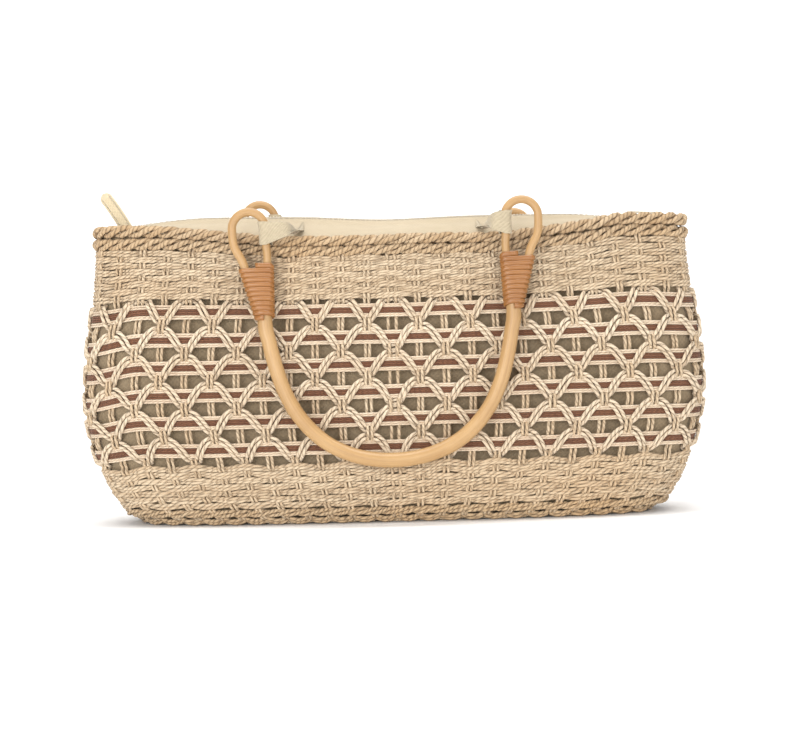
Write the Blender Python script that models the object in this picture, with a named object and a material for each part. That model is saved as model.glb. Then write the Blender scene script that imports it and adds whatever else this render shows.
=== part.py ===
"""Straw handbag: a woven cord body with an openwork middle, a cloth lining and zip top, and two cane handles.

Metres, +Z up. The origin is the middle of the base's underside. The front faces -Y and +X is the wearer's left,
so seen from the front +X is to the right. The cord wall is one soft surface, wall(turn, height, out): turn runs
once round the bag from the middle of the front, height is measured up the wall, and out is along its normal.
"""

import math
from bisect import bisect_right

import bmesh
import bpy
from mathutils import Vector

# Overall sizes of the cord wall's middle surface
HEIGHT = 0.190
WIDTH = 0.408
DEPTH = 0.092
SQUARENESS = 3.2

# Weave
WARPS = 52
BAR_COUNT = 6
BAR_PITCH = 0.0177
FIRST_BAR = 0.0500
BAR_HEIGHT = 0.0092
KNOT_WAIST = 0.38
BAND_THICKNESS = 0.0032
OPENWORK_THICKNESS = 0.0030
BORDER_RADIUS = 0.0033
LOWER_BAND_TOP = 0.0398
UPPER_BAND_FOOT = 0.1462
RIM_HEIGHT = 0.0180
RIM_THICKNESS = 0.0072
BASE_THICKNESS = 0.0030
GAP = 0.0003

# Lining and zip top
CLOTH = 0.0010
LINING_INSET = 0.0050
LINING_DROP = 0.0062
PANEL_BULGE = 0.0016
ZIP_LENGTH = 0.340
ZIP_TAPE_WIDTH = 0.0150
ZIP_TEETH_WIDTH = 0.0046
ZIP_TEETH_HEIGHT = 0.0016
SLIDER_LENGTH = 0.0110
SLIDER_WIDTH = 0.0075
SLIDER_HEIGHT = 0.0028
SLIDER_PLACE = 0.158
PULL_LENGTH = 0.0200
PULL_WIDTH = 0.0050
PULL_THICKNESS = 0.0010
TAIL_WIDTH = 0.0084
TAIL_THICKNESS = 0.0024
TAIL_REACH = 0.0160
TAIL_RISE = 0.0250

# Cane handles
CANE_RADIUS = 0.0047
LOOP_CANE_RADIUS = 0.0027
BOW_WIDTH = 0.159
BOW_BOTTOM = 0.0352
LOOP_SPREAD = 0.1748
LOOP_WIDTH = 0.0214
LOOP_TOP = 0.2048
BINDING_FOOT = 0.1331
BINDING_TOP = 0.1687
BINDING_TOP_SPREAD = 0.1680
BINDING_WALL = 0.0008
BINDING_TURNS = 9
HANDLE_LEAN = 0.09
HANDLE_STANDOFF = 0.0098
HANDLE_REST = 0.0855
TAB_FOOT = 0.1805
TAB_HEIGHT = 0.0150
TAB_REACH = 0.0200
TAB_LANDING = 0.0090

# How each handle hangs. Columns: name, side (-1 front, 1 back), tilt in degrees, shift along X and rise in metres
HANGS = (
    ("front", -1, 1.2, -0.0034, 0.0022),
    ("back", 1, -3.0, -0.0016, 0.0050),
)

# Half of a handle's bow, from its lowest point. Columns: across and up, as shares of BOW_WIDTH / 2 and of the
# height from the lowest point to the binding's foot
BOW_SHAPE = (
    (0.000, 0.000),
    (0.248, 0.024),
    (0.465, 0.094),
    (0.632, 0.198),
    (0.775, 0.345),
    (0.871, 0.510),
    (0.930, 0.671),
    (0.972, 0.834),
)

# Cord wall profile. Columns: height, half width and half depth, as shares of HEIGHT, WIDTH / 2 and DEPTH / 2
PROFILE = (
    (0.000, 0.812, 0.830),
    (0.042, 0.872, 0.900),
    (0.115, 0.921, 0.945),
    (0.200, 0.953, 0.980),
    (0.300, 0.981, 1.000),
    (0.442, 1.000, 0.980),
    (0.630, 0.990, 0.910),
    (0.747, 0.971, 0.865),
    (0.868, 0.956, 0.815),
    (1.000, 0.947, 0.765),
)

# Line of the zip over the nominal rim. Columns: place across and rise, as shares of the half width and of HEIGHT
ZIP_LINE = (
    (-0.93, 0.014),
    (-0.58, 0.050),
    (-0.30, 0.045),
    (0.00, 0.029),
    (0.27, 0.035),
    (0.55, 0.032),
    (0.78, 0.010),
    (0.93, 0.001),
)

# Sag of the rim between the handles and its rise at the corners. Columns: place across, lift, as shares of the
# half width and of HEIGHT
RIM_LIFT = (
    (-1.00, 0.040),
    (-0.83, 0.034),
    (-0.65, 0.020),
    (-0.50, 0.001),
    (-0.35, -0.018),
    (0.33, -0.018),
    (0.50, -0.003),
    (0.64, 0.013),
    (0.78, 0.040),
    (0.88, 0.040),
    (1.00, 0.032),
)
LIFT_START = 0.30
LIFT_POWER = 3

# Droop of the end walls. Columns: height, droop, both as shares of HEIGHT
END_DROOP = (
    (0.00, 0.000),
    (0.06, 0.000),
    (0.22, 0.020),
    (0.45, 0.032),
    (0.68, 0.030),
    (0.90, 0.000),
    (1.00, 0.000),
)
DROOP_START = 0.80
RIGHT_DROOP_SHARE = 0.20

# Rim section. Columns: out, up, as shares of RIM_THICKNESS and RIM_HEIGHT
RIM_SECTION = (
    (0.32, 0.00),
    (0.50, 0.30),
    (0.46, 0.76),
    (0.08, 1.00),
    (-0.44, 0.86),
    (-0.32, 0.00),
)

# Colours (linear) and finishes. Columns: colour, roughness, metallic
FINISHES = {
    "straw": ((0.72, 0.58, 0.40), 0.85, 0.0),
    "openwork_cord": ((0.74, 0.60, 0.43), 0.85, 0.0),
    "lining_cloth": ((0.26, 0.19, 0.12), 0.95, 0.0),
    "top_cloth": ((0.80, 0.72, 0.54), 0.95, 0.0),
    "zip": ((0.78, 0.69, 0.52), 0.60, 0.0),
    "zip_metal": ((0.62, 0.55, 0.42), 0.35, 1.0),
    "cane": ((0.62, 0.36, 0.13), 0.40, 0.0),
    "binding": ((0.45, 0.19, 0.05), 0.45, 0.0),
}


def smoothstep(t):
    t = min(1.0, max(0.0, t))
    return t * t * (3 - 2 * t)


def blend(a, b, t):
    return a + (b - a) * t


def table_value(table, at, column):
    """Smooth value of a table's column at a place in its first column, without overshoot."""
    places = [row[0] for row in table]
    at = min(places[-1], max(places[0], at))
    last = len(table) - 1
    i = min(last - 1, max(0, bisect_right(places, at) - 1))

    def slope(k):
        if k in (0, last):
            return 0.0
        before = (table[k][column] - table[k - 1][column]) / (places[k] - places[k - 1])
        after = (table[k + 1][column] - table[k][column]) / (places[k + 1] - places[k])
        return 0.0 if before * after <= 0 else 2 * before * after / (before + after)

    step = places[i + 1] - places[i]
    t = (at - places[i]) / step
    start, end = table[i][column], table[i + 1][column]
    first = slope(i) if i else (end - start) / step
    second = slope(i + 1) if i + 1 < last else (end - start) / step
    return (
        start * (2 * t**3 - 3 * t**2 + 1)
        + first * step * (t**3 - 2 * t**2 + t)
        + end * (3 * t**2 - 2 * t**3)
        + second * step * (t**3 - t**2)
    )


def rounded(angle):
    """Unit rounded rectangle: angle 0 is the middle of the front, a quarter turn is the +X end."""
    s, c = math.sin(angle), math.cos(angle)
    power = 2 / SQUARENESS
    return math.copysign(abs(s) ** power, s), -math.copysign(abs(c) ** power, c)


def even_angles(steps=1440):
    """Angles at which the rim's length is shared out evenly, so that the warps are evenly spaced there."""
    half_width = WIDTH / 2 * PROFILE[-1][1]
    half_depth = DEPTH / 2 * PROFILE[-1][2]
    corners = [rounded(2 * math.pi * i / steps) for i in range(steps + 1)]
    run = [0.0]
    for (x0, y0), (x1, y1) in zip(corners, corners[1:]):
        run.append(run[-1] + math.hypot((x1 - x0) * half_width, (y1 - y0) * half_depth))
    return [length / run[-1] for length in run], steps


RUN, RUN_STEPS = even_angles()


def turn_angle(turn):
    whole = math.floor(turn)
    part = turn - whole
    i = min(RUN_STEPS - 1, bisect_right(RUN, part) - 1)
    inside = (part - RUN[i]) / (RUN[i + 1] - RUN[i])
    return 2 * math.pi * (whole + (i + inside) / RUN_STEPS)


def half_sizes(share):
    return (
        WIDTH / 2 * table_value(PROFILE, share, 1),
        DEPTH / 2 * table_value(PROFILE, share, 2),
    )


def sway(across, share):
    """How far the soft wall rises or sinks from its nominal height."""
    lift = table_value(RIM_LIFT, across, 1) * max(0.0, (share - LIFT_START) / (1 - LIFT_START)) ** LIFT_POWER
    end = smoothstep((abs(across) - DROOP_START) / (1 - DROOP_START))
    if across > 0:
        end *= RIGHT_DROOP_SHARE
    return HEIGHT * (lift - end * table_value(END_DROOP, share, 1))


def wall_point(turn, height):
    share = height / HEIGHT
    half_width, half_depth = half_sizes(share)
    across, along = rounded(turn_angle(turn))
    return Vector((half_width * across, half_depth * along, height + sway(across, share)))


def wall(turn, height, out=0.0):
    """Point on the cord wall, moved out along its normal."""
    point = wall_point(turn, height)
    if not out:
        return point
    along = wall_point(turn + 0.002, height) - wall_point(turn - 0.002, height)
    low, high = max(0.0, height - 0.001), min(HEIGHT, height + 0.001)
    up = wall_point(turn, high) - wall_point(turn, low)
    return point + along.cross(up).normalized() * out


def front_wall(x, height):
    """Depth of the front wall's middle surface (a negative y) at a place across."""
    half_width, half_depth = half_sizes(height / HEIGHT)
    across = min(1.0, abs(x) / half_width)
    return -half_depth * (1 - across**SQUARENESS) ** (1 / SQUARENESS)


def rim_height_at(x):
    return HEIGHT + sway(x / half_sizes(1.0)[0], 1.0)


# Object makers


def clear_scene():
    for found in list(bpy.data.objects):
        bpy.data.objects.remove(found)


def material(name):
    made = bpy.data.materials.get(name)
    if made:
        return made
    colour, roughness, metallic = FINISHES[name]
    made = bpy.data.materials.new(name)
    made.use_nodes = True
    shader = made.node_tree.nodes["Principled BSDF"]
    shader.inputs["Base Color"].default_value = (*colour, 1)
    shader.inputs["Roughness"].default_value = roughness
    shader.inputs["Metallic"].default_value = metallic
    made.diffuse_color = (*colour, 1)
    return made


def add_object(name, points, faces, finish, smooth_below=40):
    mesh = bpy.data.meshes.new(name)
    mesh.from_pydata([tuple(p) for p in points], [], faces)
    made = bpy.data.objects.new(name, mesh)
    bpy.context.scene.collection.objects.link(made)
    bm = bmesh.new()
    bm.from_mesh(mesh)
    bmesh.ops.recalc_face_normals(bm, faces=bm.faces)
    bm.to_mesh(mesh)
    bm.free()
    mesh.shade_smooth()
    mesh.set_sharp_from_angle(angle=math.radians(smooth_below))
    mesh.materials.append(material(finish))
    return made


def thicken(made, thickness):
    solid = made.modifiers.new("thickness", "SOLIDIFY")
    solid.thickness = thickness
    solid.offset = 0.0
    solid.use_even_offset = True
    return made


def wall_solid(name, places, faces, thickness, finish):
    """A solid piece of the cord wall: places are (turn, height) pairs, faces join them on the middle surface."""
    count = len(places)
    points = [wall(turn, height, side * thickness / 2) for side in (1, -1) for turn, height in places]
    solid = list(faces) + [tuple(count + k for k in reversed(face)) for face in faces]
    edges = {(face[k - 1], face[k]) for face in faces for k in range(len(face))}
    for start, end in sorted(edges):
        if (end, start) not in edges:
            solid.append((end, start, start + count, end + count))
    return add_object(name, points, solid, finish, 60)


def ring_grid(rows, stations):
    """Faces of a grid that closes round the bag, with rows of points one above the other."""
    return [
        (
            row * stations + j,
            row * stations + (j + 1) % stations,
            (row + 1) * stations + (j + 1) % stations,
            (row + 1) * stations + j,
        )
        for row in range(rows - 1)
        for j in range(stations)
    ]


def tube_of_sections(sections, closed=False):
    """Points and faces of a solid skinned through sections of equal count, capped unless it closes on itself."""
    count = len(sections[0])
    points = [p for section in sections for p in section]
    faces = []
    turns = len(sections) if closed else len(sections) - 1
    for i in range(turns):
        low, high = i * count, (i + 1) % len(sections) * count
        for k in range(count):
            nxt = (k + 1) % count
            faces.append((low + k, low + nxt, high + nxt, high + k))
    if not closed:
        last = (len(sections) - 1) * count
        faces.append(tuple(range(count)))
        faces.append(tuple(last + k for k in reversed(range(count))))
    return points, faces


# Cord body


def woven_band(name, foot, top, rows):
    """A ring of close weave between two heights, one station for each warp."""
    turns = [(j + 0.5) / WARPS for j in range(WARPS)]
    places = [(turn, blend(foot, top, row / (rows - 1))) for row in range(rows) for turn in turns]
    return wall_solid(name, places, ring_grid(rows, WARPS), BAND_THICKNESS, "straw")


def openwork():
    """The pierced middle: level bars joined by waisted knots, which change warps from row to row."""
    places, faces, found = [], [], {}

    def place(station, height):
        key = (round(station % WARPS, 3), round(height, 6))
        if key not in found:
            found[key] = len(places)
            places.append((station / WARPS, height))
        return found[key]

    half_bar = BAR_HEIGHT / 2
    bars = [FIRST_BAR + BAR_PITCH * i for i in range(BAR_COUNT)]
    for i, bar in enumerate(bars):
        low = bar - half_bar if i else LOWER_BAND_TOP + GAP
        high = bar + half_bar if i < BAR_COUNT - 1 else UPPER_BAND_FOOT - GAP
        for j in range(WARPS):
            left, right = j - 0.5, j + 0.5
            faces.append((place(left, low), place(right, low), place(right, high), place(left, high)))
    for i, (below, above) in enumerate(zip(bars, bars[1:])):
        low, high = below + half_bar, above - half_bar
        middle = (low + high) / 2
        for knot in range((i + 1) % 2, WARPS, 2):
            left, right = knot - KNOT_WAIST / 2, knot + KNOT_WAIST / 2
            faces.append((place(knot - 0.5, low), place(knot + 0.5, low), place(right, middle), place(left, middle)))
            faces.append((place(left, middle), place(right, middle), place(knot + 0.5, high), place(knot - 0.5, high)))
    return wall_solid("openwork", places, faces, OPENWORK_THICKNESS, "openwork_cord")


def rim_braid():
    foot = HEIGHT - RIM_HEIGHT
    sections = [
        [wall(j / WARPS, foot + up * RIM_HEIGHT, out * RIM_THICKNESS) for out, up in RIM_SECTION]
        for j in range(WARPS)
    ]
    points, faces = tube_of_sections(sections, closed=True)
    return add_object("rim_braid", points, faces, "straw", 70)


def foot_ring(inset, height):
    """Outline of the foot of the wall at one height, moved in by an inset."""
    ring = []
    for j in range(WARPS):
        point = wall_point(j / WARPS, BORDER_RADIUS)
        outward = Vector((point.x / WIDTH, point.y / DEPTH, 0)).normalized()
        point -= outward * inset
        ring.append(Vector((point.x, point.y, height)))
    return ring


def bottom_border(sides=6):
    """The thick twined cord round the foot of the wall."""
    reach = BORDER_RADIUS / math.cos(math.pi / sides)
    angles = [2 * math.pi * k / sides for k in range(sides)]
    rings = [foot_ring(-reach * math.cos(a), BORDER_RADIUS + reach * math.sin(a)) for a in angles]
    points, faces = tube_of_sections([list(section) for section in zip(*rings)], closed=True)
    return add_object("bottom_border", points, faces, "straw", 70)


def base_inset():
    return BORDER_RADIUS / math.cos(math.pi / 6) + GAP


def base_panel():
    """The flat woven base inside the border."""
    points, faces = tube_of_sections([foot_ring(base_inset(), z) for z in (0.0, BASE_THICKNESS)])
    return add_object("base_panel", points, faces, "straw")


# Lining and zip top


def lining():
    """A cloth bag inside the cord wall, open at the top."""
    half = CLOTH / 2
    floor = foot_ring(base_inset() + 3 * CLOTH, BASE_THICKNESS + GAP + half)
    heights = (2 * BORDER_RADIUS + GAP + half, 0.42 * HEIGHT, 0.75 * HEIGHT, HEIGHT - LINING_DROP)
    rings = [[wall(j / WARPS, height, -LINING_INSET) for j in range(WARPS)] for height in heights]
    points = [p for ring in (floor, *rings) for p in ring]
    faces = ring_grid(len(heights) + 1, WARPS)
    faces.append(tuple(reversed(range(WARPS))))
    made = add_object("lining", points, faces, "lining_cloth", 60)
    return thicken(made, CLOTH)


def zip_height(x):
    """Height of the zip line, which stands proud of the soft rim."""
    return HEIGHT * (1 + table_value(ZIP_LINE, 2 * x / WIDTH, 1))


def seat_height(x):
    """Height at which the top panel's outer edge sits on the lining's edge."""
    level = HEIGHT - LINING_DROP
    across = x / half_sizes(level / HEIGHT)[0]
    return level + sway(max(-1.0, min(1.0, across)), level / HEIGHT) + CLOTH / 2 + GAP


def panel_edge(turn):
    """Outer edge of the top panel at the front."""
    half_width, half_depth = half_sizes(1 - LINING_DROP / HEIGHT)
    across, along = rounded(turn_angle(turn))
    x = (half_width - LINING_INSET) * across
    y = min((half_depth - LINING_INSET) * along, -GAP - CLOTH)
    return Vector((x, y, seat_height(x)))


def panel_surface(edge, share):
    """Point on the front half of the top, from its outer edge to the zip."""
    half_zip = ZIP_LENGTH / 2
    x = max(-half_zip, min(half_zip, edge.x))
    inner = Vector((x, -ZIP_TAPE_WIDTH / 2 - GAP, zip_height(x)))
    return edge.lerp(inner, share) + Vector((0, 0, PANEL_BULGE * math.sin(math.pi * share)))


def panel_height_at(x, y):
    """Height of the front half of the top over a place."""
    half_width, half_depth = half_sizes(1 - LINING_DROP / HEIGHT)
    across = abs(x) / (half_width - LINING_INSET)
    edge_y = -(half_depth - LINING_INSET) * (1 - across**SQUARENESS) ** (1 / SQUARENESS)
    edge = Vector((x, edge_y, seat_height(x)))
    share = (y - edge_y) / (-ZIP_TAPE_WIDTH / 2 - GAP - edge_y)
    return panel_surface(edge, share).z


def top_panel(name, side, stations=20):
    """The cloth between the rim and one edge of the zip; side is -1 at the front and 1 at the back."""
    shares = (0.0, 0.45, 1.0)
    edges = [panel_edge(blend(-0.25, 0.25, j / stations)) for j in range(stations + 1)]
    points = [panel_surface(edge, share) for share in shares for edge in edges]
    points = [Vector((p.x, -side * p.y, p.z)) for p in points]
    row = stations + 1
    faces = [
        (r * row + j, r * row + j + 1, (r + 1) * row + j + 1, (r + 1) * row + j)
        for r in range(len(shares) - 1)
        for j in range(stations)
    ]
    made = add_object(name, points, faces, "top_cloth", 60)
    return thicken(made, CLOTH)


def ribbon(name, width, thickness, finish, span, rise=0.0, stations=12):
    """A strip along the zip line: span is its first and last x, rise its height over the line."""
    sections = []
    for j in range(stations + 1):
        x = blend(span[0], span[1], j / stations)
        z = zip_height(x) + rise
        sections.append(
            [Vector((x, y * width / 2, z + up * thickness / 2)) for y, up in ((-1, -1), (1, -1), (1, 1), (-1, 1))]
        )
    points, faces = tube_of_sections(sections)
    return add_object(name, points, faces, finish)


def along_zip(outline, levels, start):
    """Sections over the zip: outline holds (along, across) places, levels hold (rise, growth) pairs."""
    seat = CLOTH / 2 + GAP + ZIP_TEETH_HEIGHT + GAP
    return [
        [Vector((start + x * grow, y * grow, zip_height(start + x * grow) + seat + rise)) for x, y in outline]
        for rise, grow in levels
    ]


def zip_slider():
    """A plain slider over the teeth."""
    shape = ((-1.0, 0.55), (0.55, 1.0), (1.0, 0.6), (1.0, -0.6), (0.55, -1.0), (-1.0, -0.55))
    outline = [(x * SLIDER_LENGTH / 2, y * SLIDER_WIDTH / 2) for x, y in shape]
    levels = ((0.0, 1.0), (SLIDER_HEIGHT * 0.7, 1.0), (SLIDER_HEIGHT, 0.8))
    points, faces = tube_of_sections(along_zip(outline, levels, SLIDER_PLACE))
    return add_object("zip_slider", points, faces, "zip_metal", 30)


def zip_pull():
    """The slider's pull tab, lying along the zip towards the right end of the bag."""
    shape = ((0.0, -0.6), (0.85, -1.0), (1.0, -0.5), (1.0, 0.5), (0.85, 1.0), (0.0, 0.6))
    outline = [(x * PULL_LENGTH, y * PULL_WIDTH / 2) for x, y in shape]
    foot = SLIDER_HEIGHT + GAP
    points, faces = tube_of_sections(along_zip(outline, ((foot, 1.0), (foot + PULL_THICKNESS, 1.0)), SLIDER_PLACE))
    return add_object("zip_pull", points, faces, "zip_metal", 30)


# Outline of the zip's tail. Columns: place along and half width, as shares of its length and of TAIL_WIDTH / 2
TAIL_SHAPE = (
    (0.00, 1.00),
    (0.25, 1.00),
    (0.50, 1.00),
    (0.72, 0.98),
    (0.88, 0.90),
    (0.96, 0.70),
    (1.00, 0.35),
)


def zip_tail():
    """The cloth end of the zip, which stands up and out past the left corner of the rim."""
    first = -ZIP_LENGTH / 2 - GAP
    start = Vector((first - TAIL_WIDTH * 0.48, 0, zip_height(first) - CLOTH))
    bend = start + Vector((-TAIL_REACH * 0.42, 0, TAIL_RISE * 0.52))
    end = start + Vector((-TAIL_REACH, 0, TAIL_RISE))
    sections = []
    for share, wide in TAIL_SHAPE:
        centre = start.lerp(bend, share).lerp(bend.lerp(end, share), share)
        tangent = (bend - start).lerp(end - bend, share).normalized()
        across = Vector((tangent.z, 0, -tangent.x)) * (TAIL_WIDTH / 2 * wide)
        thick = Vector((0, TAIL_THICKNESS / 2, 0))
        shape = ((-1, -0.4), (-0.7, -1), (0.7, -1), (1, -0.4), (1, 0.4), (0.7, 1), (-0.7, 1), (-1, 0.4))
        sections.append([centre + across * u + thick * v for u, v in shape])
    points, faces = tube_of_sections(sections)
    return add_object("zip_tail", points, faces, "top_cloth", 50)


# Cane handles


def handle_depth(z):
    """Depth of the front handle's plane (a negative y), which leans on the bulging wall."""
    return front_wall(BOW_WIDTH / 2, HANDLE_REST) - HANDLE_STANDOFF + HANDLE_LEAN * (z - HANDLE_REST)


def on_handle(x, z, hang):
    """World place of a point in a handle's own plane, where x and z are as if it hung level."""
    name, side, tilt, shift, rise = hang
    turn = math.radians(tilt)
    up = z - LOOP_TOP
    new_x = x * math.cos(turn) - up * math.sin(turn) + shift
    new_z = LOOP_TOP + up * math.cos(turn) + x * math.sin(turn) + rise
    return Vector((new_x, -side * handle_depth(new_z), new_z))


def loop_height():
    """Height of the middle of a loop's round top."""
    return LOOP_TOP - LOOP_CANE_RADIUS - LOOP_WIDTH / 2


def inner_leg(z):
    """Place across and growth of the loop's inner leg at a height, also where it bends over."""
    straight = LOOP_SPREAD / 2 - LOOP_WIDTH / 2
    if z <= loop_height():
        return straight, 1.0
    bend = math.asin(min(1.0, (z - loop_height()) / (LOOP_WIDTH / 2)))
    return LOOP_SPREAD / 2 - LOOP_WIDTH / 2 * math.cos(bend), 1 / math.cos(bend)


def binding_section(share):
    """Middle, half width and half depth of a binding's outside, from its foot to its top."""
    fit = GAP + BINDING_WALL
    middle = blend(BOW_WIDTH / 2, BINDING_TOP_SPREAD / 2, share)
    foot = CANE_RADIUS + fit
    half_width = blend(foot, (LOOP_WIDTH * 0.71 + 2 * LOOP_CANE_RADIUS) / 2 + fit, share)
    return middle, half_width, blend(foot, LOOP_CANE_RADIUS + fit, share)


def cane_half():
    """Half of a handle from the middle of its bow to the end turned back in the binding, as (x, z, radius)."""
    thin = LOOP_CANE_RADIUS
    lowest = BOW_BOTTOM + CANE_RADIUS
    path = [
        (BOW_WIDTH / 2 * across, blend(lowest, BINDING_FOOT, up), CANE_RADIUS)
        for across, up in BOW_SHAPE
    ]
    middle, half_width, half_depth = binding_section(1.0)
    inside = half_width - half_depth
    path.append((BOW_WIDTH / 2, BINDING_FOOT, CANE_RADIUS))
    path.append((middle - inside, BINDING_TOP, thin))
    inner, outer = LOOP_SPREAD / 2 - LOOP_WIDTH / 2, LOOP_SPREAD / 2 + LOOP_WIDTH / 2
    path.append((inner, blend(BINDING_TOP, loop_height(), 0.5), thin))
    for step in range(9):
        bend = math.pi * step / 8
        x = LOOP_SPREAD / 2 - LOOP_WIDTH / 2 * math.cos(bend)
        path.append((x, loop_height() + LOOP_WIDTH / 2 * math.sin(bend), thin))
    path.append((outer - 0.1 * LOOP_WIDTH / 2, blend(BINDING_TOP, loop_height(), 0.5), thin))
    path.append((middle + inside, BINDING_TOP, thin))
    middle, half_width, half_depth = binding_section(0.42)
    tip = thin * 0.8
    path.append((middle + half_width - GAP - BINDING_WALL - tip, blend(BINDING_FOOT, BINDING_TOP, 0.42), tip))
    return path


def handle(hang, sides=8):
    """A cane bent to a bow, thinned at each end and turned back to a loop."""
    half = cane_half()
    path = [(-x, z, radius) for x, z, radius in reversed(half[1:])] + half
    centres = [on_handle(x, z, hang) for x, z, radius in path]
    out = Vector((0, 1, -HANDLE_LEAN * -hang[1])).normalized()
    sections = []
    for k, centre in enumerate(centres):
        along = centres[min(k + 1, len(centres) - 1)] - centres[max(k - 1, 0)]
        across = along.cross(out).normalized()
        radius = path[k][2]
        turns = [2 * math.pi * (i + 0.5) / sides for i in range(sides)]
        sections.append([centre + (across * math.cos(a) + out * math.sin(a)) * radius for a in turns])
    points, faces = tube_of_sections(sections)
    return add_object(f"{hang[0]}_handle", points, faces, "cane", 60)


def stadium(half_width, half_depth, per_end=4):
    """Outline of a flat oval drawn outside its round ends, as (across, depth)."""
    straight = half_width - half_depth
    reach = half_depth / math.cos(math.pi / 2 / (per_end - 1))
    right = [-math.pi / 2 + math.pi * i / (per_end - 1) for i in range(per_end)]
    outline = [(straight + reach * math.cos(a), reach * math.sin(a)) for a in right]
    return outline + [(-x, -y) for x, y in outline]


def binding(edge, hand, hang):
    """The wound strip that ties a loop's two canes together: a sleeve with one ridge for each turn."""
    ridge = BINDING_WALL * 0.7
    rows = 2 * BINDING_TURNS

    def section(share, inset):
        middle, half_width, half_depth = binding_section(share)
        outline = stadium(half_width - inset, half_depth - inset)
        z = blend(BINDING_FOOT, BINDING_TOP, share)
        return [on_handle(hand * (middle + x), z, hang) + Vector((0, y, 0)) for x, y in outline]

    sections = [section(row / rows, -ridge if row % 2 else 0.0) for row in range(rows + 1)]
    sections += [section(1 - row / 3, BINDING_WALL) for row in range(4)]
    points, faces = tube_of_sections(sections, closed=True)
    return add_object(f"{hang[0]}_{edge}_binding", points, faces, "binding", 25)


def cloth_tab(edge, hand, hang, sides=8):
    """A cloth strip rolled round the inner leg of a loop and carried over the rim on to the top panel."""
    name, side, tilt, shift, rise = hang
    thick = 1.4 * CLOTH
    inner_radius = (LOOP_CANE_RADIUS + GAP) / math.cos(math.pi / sides)
    leg_x, grow = inner_leg(0.0)
    wrap = math.radians(285)
    arc = [wrap * i / sides for i in range(sides + 1)]

    def to_front(point):
        """The same place as if the handle were at the front right."""
        return Vector((hand * point.x, -side * point.y, point.z))

    def roll(z, extra):
        x, grow = inner_leg(z)
        centre = to_front(on_handle(hand * x, z, hang))
        radius = inner_radius + extra
        return [centre + Vector((math.sin(a) * radius * grow, -math.cos(a) * radius, 0)) for a in arc]

    levels = (TAB_FOOT, loop_height(), TAB_FOOT + TAB_HEIGHT)
    inside = [roll(z, 0.0) for z in levels]
    outside = [roll(z, thick) for z in levels]
    columns = [[ring[k] for ring in outside] + [ring[k] for ring in reversed(inside)] for k in range(sides + 1)]

    start = columns[0]
    reach_x = leg_x - TAB_REACH
    over = rim_height_at(hand * (leg_x + reach_x) / 2) + GAP + thick / 2
    crossing = front_wall(reach_x, HEIGHT) - RIM_THICKNESS * 0.3
    landing = front_wall(reach_x, HEIGHT) + LINING_INSET + TAB_LANDING
    far = landing + TAB_LANDING

    def panel(x, y):
        return panel_height_at(hand * x, y) + (CLOTH + thick) / 2 + GAP

    low, middle, high = start[0].z, start[1].z, start[2].z
    front_y = start[0].y + thick / 2
    half_x = blend(leg_x, reach_x, 0.55)
    web = (
        (half_x, (front_y, blend(low, over, 0.75)), (front_y * 0.98, blend(middle, over, 0.6) + 0.003),
         (front_y * 0.94, blend(high, over, 0.3) + 0.001)),
        (blend(half_x, reach_x, 0.5), (crossing - RIM_THICKNESS * 0.5, over + thick), (crossing, over + 2 * thick),
         (landing, max(over, panel(reach_x, landing)) + 2 * thick)),
        (reach_x, (landing, panel(reach_x, landing)), ((landing + far) / 2, panel(reach_x, (landing + far) / 2)),
         (far, panel(reach_x, far))),
    )
    for x, *spine in web:
        places = [Vector((x, y, z)) for y, z in spine]
        along = (places[2] - places[0]).normalized()
        normal = Vector((0, -along.z, along.y)) * (thick / 2)
        columns.insert(0, [p + normal for p in places] + [p - normal for p in reversed(places)])
    points, faces = tube_of_sections(columns)
    points = [Vector((hand * p.x, -side * p.y, p.z)) for p in points]
    return add_object(f"{name}_{edge}_tab", points, faces, "top_cloth", 50)


def main():
    clear_scene()
    base_panel()
    bottom_border()
    woven_band("lower_band", 2 * BORDER_RADIUS + GAP + BAND_THICKNESS / 4, LOWER_BAND_TOP, 3)
    openwork()
    woven_band("upper_band", UPPER_BAND_FOOT, HEIGHT - RIM_HEIGHT - GAP, 2)
    rim_braid()
    lining()
    top_panel("front_top_panel", -1)
    top_panel("back_top_panel", 1)
    half_zip = ZIP_LENGTH / 2
    ribbon("zip_tape", ZIP_TAPE_WIDTH, CLOTH, "zip", (-half_zip, half_zip))
    teeth_rise = (CLOTH + ZIP_TEETH_HEIGHT) / 2 + GAP
    ribbon("zip_teeth", ZIP_TEETH_WIDTH, ZIP_TEETH_HEIGHT, "zip", (-half_zip * 0.96, half_zip * 0.96), teeth_rise)
    zip_slider()
    zip_pull()
    zip_tail()
    for hang in HANGS:
        handle(hang)
        for edge, hand in (("left", -1), ("right", 1)):
            binding(edge, hand, hang)
            cloth_tab(edge, hand, hang)


main()
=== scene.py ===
"""Looks of the straw handbag: each cord of the weave, the cloth, the zip and the cane, round the solids."""

import math

import bpy
import numpy as np
from mathutils import Matrix, Vector


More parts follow.
